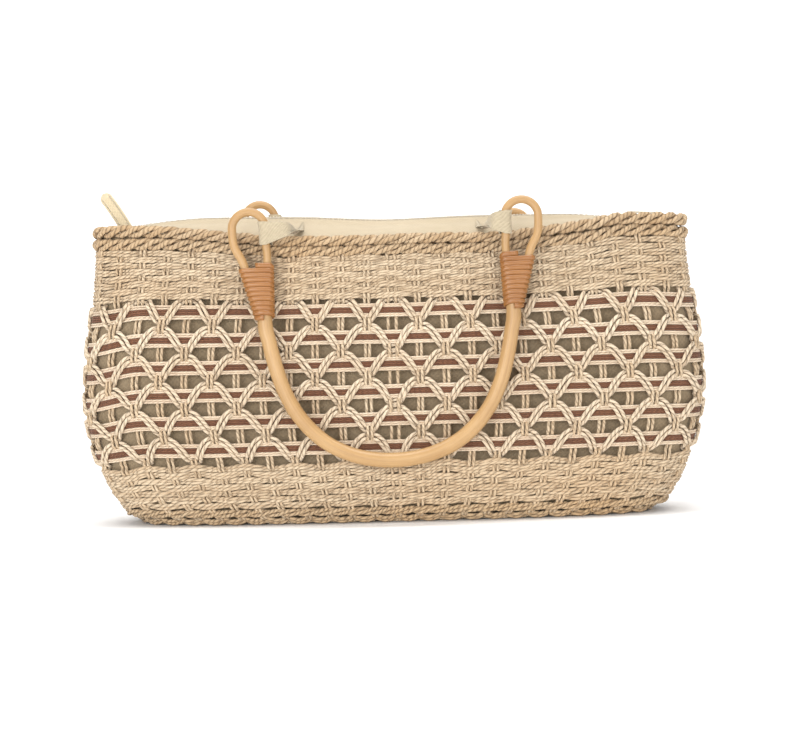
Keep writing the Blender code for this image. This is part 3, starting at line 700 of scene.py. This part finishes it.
def foot_ring(turn, inset, height):
    point = wall_point(turn, BORDER_RADIUS)
    outward = unit(np.stack([point[..., 0] / WIDTH, point[..., 1] / DEPTH, np.zeros(len(point))], -1))
    point = point - outward * np.broadcast_to(np.asarray(inset, float), (len(point),))[:, None]
    point[:, 2] = height
    return point, outward


def build_foot():
    strands = Strands()
    turns, per_turn = 24, 14
    count = turns * per_turn
    s = np.arange(count) / count
    for k in range(ROPE_STRANDS):
        a = 2 * math.pi * turns * s + 2 * math.pi * k / ROPE_STRANDS + wander(count, 40, 0.15)
        centre = wall(s, 8.3 * MM, 0.3 * MM)[0]
        path = wall(s, (8.3 + 1.45 * np.sin(a)) * MM, (0.3 + 1.35 * np.cos(a)) * MM)[0]
        strands.tube(path, path - centre, 1.3 * MM, closed=True, pitch=0.0140)
    steps = WARPS * 10
    s = np.arange(steps) / 10
    for hand in (0, 1):
        sag = np.abs(np.sin(math.pi * s)) ** 0.7
        high, drop = (5.5, 2.3) if hand == 0 else (3.6, 2.2)
        path, outward = foot_ring(s / WARPS, (0.6 + 1.7 * hand) * MM, (high - drop * sag) * MM)
        strands.tube(path, outward, 1.25 * MM, closed=True, pitch=0.0140)
    # Painted shade: the foot border uses the darker rim cord because it curves under the bag into shade.
    strands.make("foot_border", rim_cord_and_foot_shade, "straw", ["bottom_border"])

    base = Strands()
    half_width = WIDTH / 2 * PROFILE[0, 1] - 3.0 * MM
    half_depth = DEPTH / 2 * PROFILE[0, 2] - 2.0 * MM
    rows = 15
    pitch = 2 * half_depth * 0.94 / (rows - 1)
    for r in range(rows):
        y = -half_depth * 0.94 + r * pitch
        reach = half_width * (1 - min(0.985, abs(y) / half_depth) ** SQUARENESS) ** (1 / SQUARENESS)
        x = np.linspace(-reach, reach, 130)
        over = np.cos(math.pi * (x / BASE_STEP + r))
        for hand in (-1, 1):
            z = 1.72 * MM - 0.52 * MM * over
            path = np.stack([x, np.full(130, y + hand * pitch * 0.24), z], -1)
            path[:, 1] += wander(130, 12, 0.2 * MM, closed=False)
            base.tube(path, np.tile([0.0, 0.0, -1.0], (130, 1)), 1.05 * MM, flat=0.95, pitch=0.0052)
    for j in range(-9, 10):
        x0 = j * BASE_STEP
        reach = half_depth * (1 - min(0.985, abs(x0) / half_width) ** SQUARENESS) ** (1 / SQUARENESS)
        y = np.linspace(-reach, reach, 60)
        over = np.cos(math.pi * ((y + half_depth * 0.94) / pitch + j))
        for hand in (-1, 1):
            z = 1.72 * MM + 0.52 * MM * over
            path = np.stack([np.full(60, x0 + hand * 1.05 * MM), y, z], -1)
            base.tube(path, np.tile([0.0, 0.0, -1.0], (60, 1)), 0.95 * MM, pitch=0.0046)
    base.make("base_weave", weft_cord, "straw", ["base_panel"])


# Lining and zip top


def build_lining():
    strands = Strands()
    cols = 312
    s = np.arange(cols) / cols
    heights = np.linspace(7.4 * MM, HEIGHT - LINING_DROP, 46)
    rows = []
    floor = foot_ring(s, 7.0 * MM, 3.8 * MM)[0]
    rows.append(floor * np.array([0.35, 0.35, 1.0]))
    rows.append(floor * np.array([0.8, 0.8, 1.0]))
    rows.append(floor)
    folds = [(rng.uniform(0, 1), rng.uniform(0.010, 0.026), rng.uniform(-0.25, 0.25), rng.uniform(0.4, 1.0))
             for _ in range(46)]
    for z in heights:
        depth = np.zeros(cols)
        for place, width, lean, size in folds:
            away = (s - place - lean * (z / HEIGHT - 0.5) * 0.1 + 0.5) % 1.0 - 0.5
            depth += size * np.exp(-((away / width) ** 2)) * math.sin(math.pi * min(1, z / HEIGHT * 1.05))
        near_end = smoothstep((np.abs(rounded(turn_angle(s))[0]) - 0.70) / 0.20)
        fold = 0.75 * MM * np.clip(depth, 0, 1.6) * (1 - near_end)
        out = -LINING_INSET - 0.4 * MM - fold + 2.5 * MM * near_end
        rows.append(wall(s, z, out)[0])
    strands.grid(np.stack(rows), closed=True)
    inner = [wall(s, z, -LINING_INSET - CLOTH)[0] for z in (HEIGHT - LINING_DROP, HEIGHT - LINING_DROP - 0.010)]
    strands.grid(np.stack(inner), closed=True)
    bag = strands.make("lining_bag", lining_cloth, "lining_cloth", ["lining"])


def zip_height(x):
    return HEIGHT * (1 + table_value(ZIP_LINE, 2 * x / WIDTH, 1))


def top_surface(turn, share, side):
    """Points on one half of the top, from the rim to the zip."""
    level = 1 - LINING_DROP / HEIGHT
    half_width, half_depth = half_sizes(level)
    across, along = rounded(turn_angle(turn))
    x = (half_width - LINING_INSET) * across
    y = np.minimum((half_depth - LINING_INSET) * along, -GAP - CLOTH)
    z = level * HEIGHT + sway(np.clip(x / half_width, -1, 1), level) + CLOTH / 2 + GAP
    edge = np.stack([x, y, z], -1)
    inner_x = np.clip(x, -ZIP_LENGTH / 2, ZIP_LENGTH / 2)
    inner = np.stack([inner_x, np.full(len(x), -ZIP_TAPE_WIDTH / 2 - GAP), zip_height(inner_x)], -1)
    point = edge + (inner - edge) * share
    point[:, 2] += PANEL_BULGE * math.sin(math.pi * share) + HEM * float(smoothstep((share - 0.70) / 0.20))
    point[:, 1] *= -side
    return point


def build_top():
    for name, side in (("front", -1), ("back", 1)):
        strands = Strands()
        turn = np.linspace(-0.25, 0.25, 150)
        shares = np.linspace(0.0, 1.0, 18)
        ripple = sum(rng.uniform(0.3, 1.0) * np.sin(2 * math.pi * (f * turn * 2 + rng.uniform()))
                     for f in (7, 11, 17))
        rows = []
        for share in shares:
            point = top_surface(turn, share, side)
            point[:, 2] += ripple * 0.16 * MM * math.sin(math.pi * share)
            rows.append(point)
        top = np.stack(rows)
        under = top[::-1].copy()
        under[..., 2] -= CLOTH * 0.8
        whole = np.concatenate([top, under])
        if side > 0:
            whole = whole[:, ::-1]
        strands.grid(whole)
        made = strands.make(f"{name}_top_cloth", panel_cloth, "top_cloth", [f"{name}_top_panel"])
        seam = Strands()
        line = top_surface(np.linspace(-0.215, 0.215, 400), 0.90, side)
        stitch_row(seam, line, np.array([0, 0, 1.0]), 0.5 * MM)
        seam.make(f"{name}_top_stitches", stitch_thread, "top_cloth")


def stitch_row(strands, path, up, lift, length=2.6 * MM, gap=1.0 * MM, radius=0.22 * MM):
    """Short thread stitches along a path."""
    run = np.concatenate([[0], np.cumsum(np.linalg.norm(np.diff(path, axis=0), axis=1))])
    start = 0.5 * MM
    while start + length < run[-1]:
        t = np.linspace(start, start + length, 5)
        points = np.stack([np.interp(t, run, path[:, k]) for k in range(3)], -1)
        points = points + up * (lift * np.array([0.2, 0.85, 1.0, 0.85, 0.2]))[:, None]
        strands.tube(points, np.tile(up, (5, 1)), radius, sides=5, pitch=0.0012)
        start += length + gap


def build_zip():
    tape = Strands()
    x = np.linspace(-ZIP_LENGTH / 2, ZIP_LENGTH / 2, 120)
    z = zip_height(x)
    half = ZIP_TAPE_WIDTH / 2
    ring = [(-half, -0.5 * MM), (-half, 0.4 * MM), (-3.2 * MM, 0.5 * MM), (-2.6 * MM, 0.8 * MM),
            (2.6 * MM, 0.8 * MM), (3.2 * MM, 0.5 * MM), (half, 0.4 * MM), (half, -0.5 * MM)]
    rows = [np.stack([x, np.full(120, y), z + up], -1) for y, up in ring]
    tape.grid(np.stack(rows)[:, ::-1])
    made = tape.make("zip_tape_cloth", tape_cloth, "zip", ["zip_tape"])

    teeth = Strands()
    pitch = 2.0 * MM
    span = ZIP_LENGTH / 2 * 0.96
    base = (CLOTH + 1.6 * MM) / 2 + GAP
    for i, x0 in enumerate(np.arange(-span + pitch, span - pitch / 2, pitch)):
        hand = 1 if i % 2 else -1
        level = float(zip_height(np.array([x0]))[0]) + base
        y = np.linspace(-2.3 * MM, 0.9 * MM, 5) * -hand
        width = np.array([0.55, 0.62, 0.50, 0.72, 0.45]) * MM
        path = np.stack([np.full(5, x0), y, np.full(5, level)], -1)
        teeth.tube(path, np.tile([0.0, 0.0, 1.0], (5, 1)), width, flat=1.2, pitch=0.01)
    teeth.make("zip_teeth_row", zip_teeth_plastic, "zip", ["zip_teeth"])

    tail = Strands()
    first = -ZIP_LENGTH / 2 - GAP
    start = np.array([first - TAIL_WIDTH * 0.48, 0.0, float(zip_height(np.array([first]))[0]) - CLOTH])
    bend = start + np.array([-TAIL_REACH * 0.42, 0, TAIL_RISE * 0.52])
    end = start + np.array([-TAIL_REACH, 0, TAIL_RISE])
    t = np.linspace(0, 1, 40)
    first_leg, last_leg = start + (bend - start) * t[:, None], bend + (end - bend) * t[:, None]
    centre = first_leg * (1 - t[:, None]) + last_leg * t[:, None]
    tangent = unit((bend - start) * (1 - t[:, None]) + (end - bend) * t[:, None])
    across = np.stack([tangent[:, 2], np.zeros(40), -tangent[:, 0]], -1)
    wide = np.sqrt(np.clip(1 - np.clip((t - 0.86) / 0.14, 0, 1) ** 2, 0.02, 1)) * TAIL_WIDTH / 2
    ring = []
    for a in 2 * math.pi * np.arange(28) / 28:
        u, v = math.cos(a), math.sin(a)
        u = math.copysign(abs(u) ** 0.5, u)
        v = math.copysign(abs(v) ** 0.7, v)
        rib = 1.0 - 0.25 * math.exp(-((abs(u) - 0.66) / 0.08) ** 2)
        ring.append(centre + across * (u * wide)[:, None] + np.array([0, 1.0, 0]) * v * 1.2 * MM * rib)
    ring.append(ring[0])
    tail.grid(np.stack(ring))
    tail.make("zip_tail_cloth", tail_cloth, "top_cloth", ["zip_tail"])
    seams = Strands()
    for face in (-1, 1):
        for edge in (-1, 1):
            line = (centre + across * (edge * wide * 0.66)[:, None])[1:37]
            line[:, 1] = face * 0.95 * MM
            stitch_row(seams, line, np.array([0.0, face, 0.0]), 0.42 * MM, length=1.9 * MM, gap=0.7 * MM)
    seams.make("zip_tail_stitches", stitch_thread, "top_cloth")
    for node in ("zip_slider", "zip_pull"):
        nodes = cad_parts[node]
        nodes.data.materials.clear()
        nodes.data.materials.append(zip_metal)


# Handles

CANE_RADIUS = 0.0047
LOOP_CANE_RADIUS = 0.0027
BOW_WIDTH = 0.159
BOW_BOTTOM = 0.0352
LOOP_SPREAD = 0.1748
LOOP_WIDTH = 0.0214
LOOP_TOP = 0.2048
BINDING_FOOT = 0.1331
BINDING_TOP = 0.1687
BINDING_TOP_SPREAD = 0.1680
BINDING_WALL = 0.0008
HANDLE_LEAN = 0.09
HANDLE_STANDOFF = 0.0098
HANDLE_REST = 0.0855
TAB_FOOT = 0.1805
TAB_HEIGHT = 0.0150
TAB_REACH = 0.0200
TAB_LANDING = 0.0090
RIM_THICKNESS = 0.0072
HANGS = (("front", -1, 1.2, -0.0034, 0.0022), ("back", 1, -3.0, -0.0016, 0.0050))
BOW_SHAPE = ((0.000, 0.000), (0.248, 0.024), (0.465, 0.094), (0.632, 0.198), (0.775, 0.345), (0.871, 0.510),
             (0.930, 0.671), (0.972, 0.834))


def front_wall(x, height):
    half_width, half_depth = half_sizes(np.array(height / HEIGHT))
    return -float(half_depth) * (1 - min(1.0, abs(x) / float(half_width)) ** SQUARENESS) ** (1 / SQUARENESS)


def on_handle(x, z, hang):
    side, tilt, shift, rise = hang[1:]
    turn = math.radians(tilt)
    x, up = np.asarray(x, float), np.asarray(z, float) - LOOP_TOP
    new_x = x * math.cos(turn) - up * math.sin(turn) + shift
    new_z = LOOP_TOP + up * math.cos(turn) + x * math.sin(turn) + rise
    rest = front_wall(BOW_WIDTH / 2, HANDLE_REST) - HANDLE_STANDOFF
    return np.stack(np.broadcast_arrays(new_x, -side * (rest + HANDLE_LEAN * (new_z - HANDLE_REST)), new_z), -1)


def loop_height():
    return LOOP_TOP - LOOP_CANE_RADIUS - LOOP_WIDTH / 2


def binding_section(share):
    fit = GAP + BINDING_WALL
    foot = CANE_RADIUS + fit
    top = (LOOP_WIDTH * 0.71 + 2 * LOOP_CANE_RADIUS) / 2 + fit
    return (
        BOW_WIDTH / 2 + (BINDING_TOP_SPREAD - BOW_WIDTH) / 2 * share,
        foot + (top - foot) * share,
        foot + (LOOP_CANE_RADIUS + fit - foot) * share,
    )


def cane_half():
    thin = LOOP_CANE_RADIUS
    lowest = BOW_BOTTOM + CANE_RADIUS
    path = [(BOW_WIDTH / 2 * a, lowest + (BINDING_FOOT - lowest) * u, CANE_RADIUS) for a, u in BOW_SHAPE]
    middle, half_width, half_depth = binding_section(1.0)
    inside = half_width - half_depth
    halfway = (BINDING_TOP + loop_height()) / 2
    path.append((BOW_WIDTH / 2, BINDING_FOOT, CANE_RADIUS))
    path.append((middle - inside, BINDING_TOP, thin))
    inner, outer = LOOP_SPREAD / 2 - LOOP_WIDTH / 2, LOOP_SPREAD / 2 + LOOP_WIDTH / 2
    path.append((inner, halfway, thin))
    for step in range(9):
        bend = math.pi * step / 8
        path.append((LOOP_SPREAD / 2 - LOOP_WIDTH / 2 * math.cos(bend),
                     loop_height() + LOOP_WIDTH / 2 * math.sin(bend), thin))
    path.append((outer - 0.1 * LOOP_WIDTH / 2, halfway, thin))
    path.append((middle + inside, BINDING_TOP, thin))
    middle, half_width, half_depth = binding_section(0.42)
    tip = thin * 0.8
    path.append((middle + half_width - GAP - BINDING_WALL - tip,
                 BINDING_FOOT + (BINDING_TOP - BINDING_FOOT) * 0.42, tip))
    return path


def between(a, b, c, d, t):
    """A smooth curve from b to c that also minds the points before and after them."""
    return 0.5 * (2 * b + (c - a) * t + (2 * a - 5 * b + 4 * c - d) * t**2 + (3 * b - a - 3 * c + d) * t**3)


def smooth_path(points, spacing=1.6 * MM):
    """A smooth curve through points (rows of x, z, radius), sampled about evenly."""
    p = np.array(points)
    p = np.vstack([2 * p[0] - p[1], p, 2 * p[-1] - p[-2]])
    done = []
    for a, b, c, d in zip(p, p[1:], p[2:], p[3:]):
        steps = max(2, int(np.linalg.norm(c[:2] - b[:2]) / spacing))
        t = (np.arange(steps) / steps)[:, None]
        done.append(between(a, b, c, d, t))
    done.append(p[-2][None])
    return np.vstack(done)


def build_handles():
    for hang in HANGS:
        name, side = hang[0], hang[1]
        half = cane_half()
        full = [(-x, z, r) for x, z, r in reversed(half[1:])] + half
        path = smooth_path(full)
        points = on_handle(path[:, 0], path[:, 1], hang)
        out = unit(np.array([0, side * 1.0, HANDLE_LEAN]))
        run = np.concatenate([[0], np.cumsum(np.linalg.norm(np.diff(points, axis=0), axis=1))])
        radius = path[:, 2] * (1 + 0.012 * np.sin(run / 0.021) + 0.010 * np.sin(run / 0.0083 + 1.0))
        for place in (0.36, 0.61):
            radius = radius * (1 + 0.035 * np.exp(-((run - place * run[-1]) / 0.0022) ** 2))
        strands = Strands()
        strands.tube(points, np.tile(out, (len(points), 1)), radius, sides=24, pitch=0.010, tint=0.2)
        strands.make(f"{name}_cane", cane, "cane", [f"{name}_handle"])
        for edge, hand in (("left", -1), ("right", 1)):
            build_binding(edge, hand, hang)
            build_tab(edge, hand, hang)


def build_binding(edge, hand, hang):
    """A strip of split cane wound round both canes, each turn lying against the last."""
    turns = 11
    per_turn = 40
    count = turns * per_turn
    t = np.arange(count + 1) / count
    rise = np.floor(t * turns) + smoothstep((t * turns % 1.0 - 0.55) / 0.45)
    rise = rise / turns
    share = 0.035 + 0.93 * rise
    middle, half_width, half_depth = binding_section(share)
    a = 2 * math.pi * t * turns - math.pi / 2
    inset = 0.35 * MM
    straight = np.maximum(half_width - half_depth, 0.0)
    curve = np.stack([np.cos(a), np.sin(a)], -1)
    x = np.sign(curve[:, 0]) * straight * np.minimum(1, np.abs(curve[:, 0]) * 2.2)
    x = x + (half_depth - inset) * curve[:, 0]
    y = (half_depth - inset) * curve[:, 1]
    z = BINDING_FOOT + (BINDING_TOP - BINDING_FOOT) * share
    path = on_handle(hand * (middle + x), z + 0.1 * MM * np.sin(a * 1.7), hang)
    path[:, 1] += y
    centre = on_handle(hand * middle, z, hang)
    radial = path - centre
    radial[:, 0] -= np.clip(radial[:, 0], -straight, straight)
    strands = Strands()
    spread = (BINDING_TOP - BINDING_FOOT) / turns / 2
    tint = rng.uniform()
    radial = radial + np.array([1e-7, 0, 0])
    strands.tube(path, radial, spread * 1.04, sides=12, flat=0.66, pitch=0.006, tint=tint)
    strands.make(f"{hang[0]}_{edge}_winding", binding_cane, "binding", [f"{hang[0]}_{edge}_binding"])


def panel_height_at(x, y):
    level = 1 - LINING_DROP / HEIGHT
    half_width, half_depth = (float(v) for v in half_sizes(np.array(level)))
    across = abs(x) / (half_width - LINING_INSET)
    edge_y = -(half_depth - LINING_INSET) * (1 - across**SQUARENESS) ** (1 / SQUARENESS)
    edge_z = level * HEIGHT + float(sway(np.array(x / half_width), np.array(level))) + CLOTH / 2 + GAP
    share = (y - edge_y) / (-ZIP_TAPE_WIDTH / 2 - GAP - edge_y)
    return edge_z + (float(zip_height(np.array(x))) - edge_z) * share + PANEL_BULGE * math.sin(math.pi * share)


def build_tab(edge, hand, hang):
    """Cloth rolled round the loop's inner leg, gathered over the rim and sewn to the top."""
    name, side = hang[:2]
    leg_x = LOOP_SPREAD / 2 - LOOP_WIDTH / 2
    levels = np.linspace(TAB_FOOT, TAB_FOOT + TAB_HEIGHT, 9)
    around = np.linspace(0, math.radians(300), 30)
    flip = np.array([hand, -side, 1.0])

    def roll(z):
        if z <= loop_height():
            x, grow = leg_x, 1.0
        else:
            bend = math.asin(min(1.0, (z - loop_height()) / (LOOP_WIDTH / 2)))
            x, grow = LOOP_SPREAD / 2 - LOOP_WIDTH / 2 * math.cos(bend), 1 / math.cos(bend)
        centre = on_handle(hand * x, z, hang) * flip
        radius = LOOP_CANE_RADIUS + 1.0 * MM + 0.12 * MM * np.sin(around * 3 + z * 900)
        return centre + np.stack([np.sin(around) * radius * grow, -np.cos(around) * radius, np.zeros(30)], -1)

    rolls = np.stack([roll(z) for z in levels])
    reach_x = leg_x - TAB_REACH
    rim_half_width = float(half_sizes(np.array(1.0))[0])
    rim = HEIGHT + float(sway(np.array(hand * (leg_x + reach_x) / 2 / rim_half_width), np.array(1.0)))
    over = rim + 1.6 * MM
    crossing = front_wall(reach_x, HEIGHT) - RIM_THICKNESS * 0.3
    landing = front_wall(reach_x, HEIGHT) + LINING_INSET + TAB_LANDING
    far = landing + TAB_LANDING
    start = rolls[:, 0]
    u = np.linspace(0, 1, 9)
    front_y = start[:, 1]
    half_x = leg_x + (reach_x - leg_x) * 0.55
    low, high = start[0, 2], start[-1, 2]
    second_z = np.maximum(start[:, 2], low + (over - low) * 0.75) * (1 - u)
    second_z = second_z + u * (high + (over - high) * 0.3 + 1 * MM)
    second = np.stack([np.full(9, half_x), front_y * (1 - 0.06 * u), second_z], -1)
    third_x = half_x + (reach_x - half_x) * 0.5
    third_y = crossing - RIM_THICKNESS * 0.5 + (landing - crossing + RIM_THICKNESS * 0.5) * u
    third_z = np.array([max(over + 1.4 * MM * v, panel_height_at(hand * third_x, y) + 1.4 * MM) if y > crossing
                        else over + 1.4 * MM + 1.4 * MM * v for v, y in zip(u, third_y)])
    third = np.stack([np.full(9, third_x), third_y, third_z], -1)
    fourth_y = landing + (far - landing) * u
    fourth = np.stack([np.full(9, reach_x), fourth_y,
                       np.array([panel_height_at(hand * reach_x, y) + 0.3 * MM for y in fourth_y])], -1)
    keys = [start, second, third, fourth]
    web = []
    steps = 12
    padded = [2 * keys[0] - keys[1], *keys, 2 * keys[-1] - keys[-2]]
    for a, b, c, d in zip(padded, padded[1:], padded[2:], padded[3:]):
        for i in range(steps):
            web.append(between(a, b, c, d, i / steps))
    web.append(fourth)
    sheet = np.stack(web[::-1] + [rolls[:, k] for k in range(1, 30)])
    folds = 0.35 * MM * np.sin(np.linspace(0, 1, 9) * 2 * math.pi * 2.5)
    weight = np.concatenate([np.sin(np.linspace(0, math.pi, len(web))), np.zeros(29)])
    sheet[..., 2] += weight[:, None] * folds[None] * 0.5
    sheet[..., 1] -= weight[:, None] * folds[None] * 0.8
    gu, gv = np.gradient(sheet, axis=0), np.gradient(sheet, axis=1)
    normal = unit(np.cross(gu, gv))
    thick = 0.55 * MM
    outer, inner = ((sheet + normal * lift).transpose(1, 0, 2) for lift in (thick, -thick))
    shell = np.concatenate([outer, inner[::-1], outer[:1]])
    shell = shell * flip
    if hand * -side > 0:
        shell = shell[:, ::-1]
    strands = Strands()
    strands.grid(shell)
    made = strands.make(f"{name}_{edge}_tab_cloth", tab_cloth, "top_cloth", [f"{name}_{edge}_tab"])


build_warps()
build_bands()
build_bars()
build_waves()
build_rim()
build_foot()
build_lining()
build_top()
build_zip()
build_handles()


# Stage, light and camera


def plain(name, colour, roughness):
    n = Nodes(name)
    n.shader.inputs["Base Color"].default_value = rgb(*colour)
    n.shader.inputs["Roughness"].default_value = roughness
    n.shader.inputs["Specular IOR Level"].default_value = 0.1
    return n.material


def build_stage():
    half, back, high, bend = 3.0, 1.1, 2.6, 0.5
    profile = [(-2.5, 0.0), (back - bend, 0.0)]
    profile += [(back - bend + bend * math.sin(a), bend - bend * math.cos(a))
                for a in np.linspace(0, math.pi / 2, 12)[1:]]
    profile.append((back, high))
    mesh = bpy.data.meshes.new("studio_floor")
    points = [(x, y, z - 0.0002) for y, z in profile for x in (-half, half)]
    faces = [(2 * i, 2 * i + 1, 2 * i + 3, 2 * i + 2) for i in range(len(profile) - 1)]
    mesh.from_pydata(points, [], faces)
    mesh.shade_smooth()
    mesh.materials.append(plain("studio_white", (0.93, 0.93, 0.93), 0.9))
    floor = bpy.data.objects.new("studio_floor", mesh)
    bpy.context.scene.collection.objects.link(floor)


def add_area(name, place, target, size, energy, colour=(1, 1, 1)):
    light = bpy.data.lights.new(name, "AREA")
    light.shape = "RECTANGLE"
    light.size, light.size_y = size
    light.energy = energy
    light.color = colour
    made = bpy.data.objects.new(name, light)
    made.location = place
    made.rotation_euler = (Vector(target) - Vector(place)).to_track_quat("-Z", "Y").to_euler()
    bpy.context.scene.collection.objects.link(made)


def build_lights():
    add_area("key_light", (-0.8, -1.6, 0.40), (0, 0, 0.08), (1.1, 0.9), 18)
    add_area("fill_light", (0.9, -1.6, 0.25), (0, 0, 0.1), (1.4, 1.0), 13)
    add_area("top_light", (0.0, -0.1, 1.9), (0, 0, 0.1), (1.6, 1.2), 2.5)
    add_area("back_wash", (0.0, -0.2, 2.3), (0.0, 1.1, 0.7), (2.4, 0.8), 44)
    world = bpy.data.worlds.new("studio_world")
    world.use_nodes = True
    world.node_tree.nodes["Background"].inputs["Color"].default_value = rgb(1, 1, 1)
    world.node_tree.nodes["Background"].inputs["Strength"].default_value = 0.52
    bpy.context.scene.world = world
    bpy.context.scene.view_settings.view_transform = "Standard"


def build_camera():
    elevation, roll, distance = math.radians(2.5), math.radians(1.5), 1.154
    target = Vector((-0.0002, 0.0, 0.0950))
    place = target + Vector((0, -math.cos(elevation), math.sin(elevation))) * distance
    data = bpy.data.cameras.new("photo_camera")
    data.sensor_width = 36.0
    data.lens = 79.0
    made = bpy.data.objects.new("photo_camera", data)
    aim = (target - place).to_track_quat("-Z", "Y").to_matrix().to_4x4()
    made.matrix_world = Matrix.Translation(place) @ aim @ Matrix.Rotation(roll * -1, 4, "Z")
    bpy.context.scene.collection.objects.link(made)
    bpy.context.scene.camera = made


build_stage()
build_lights()
build_camera()
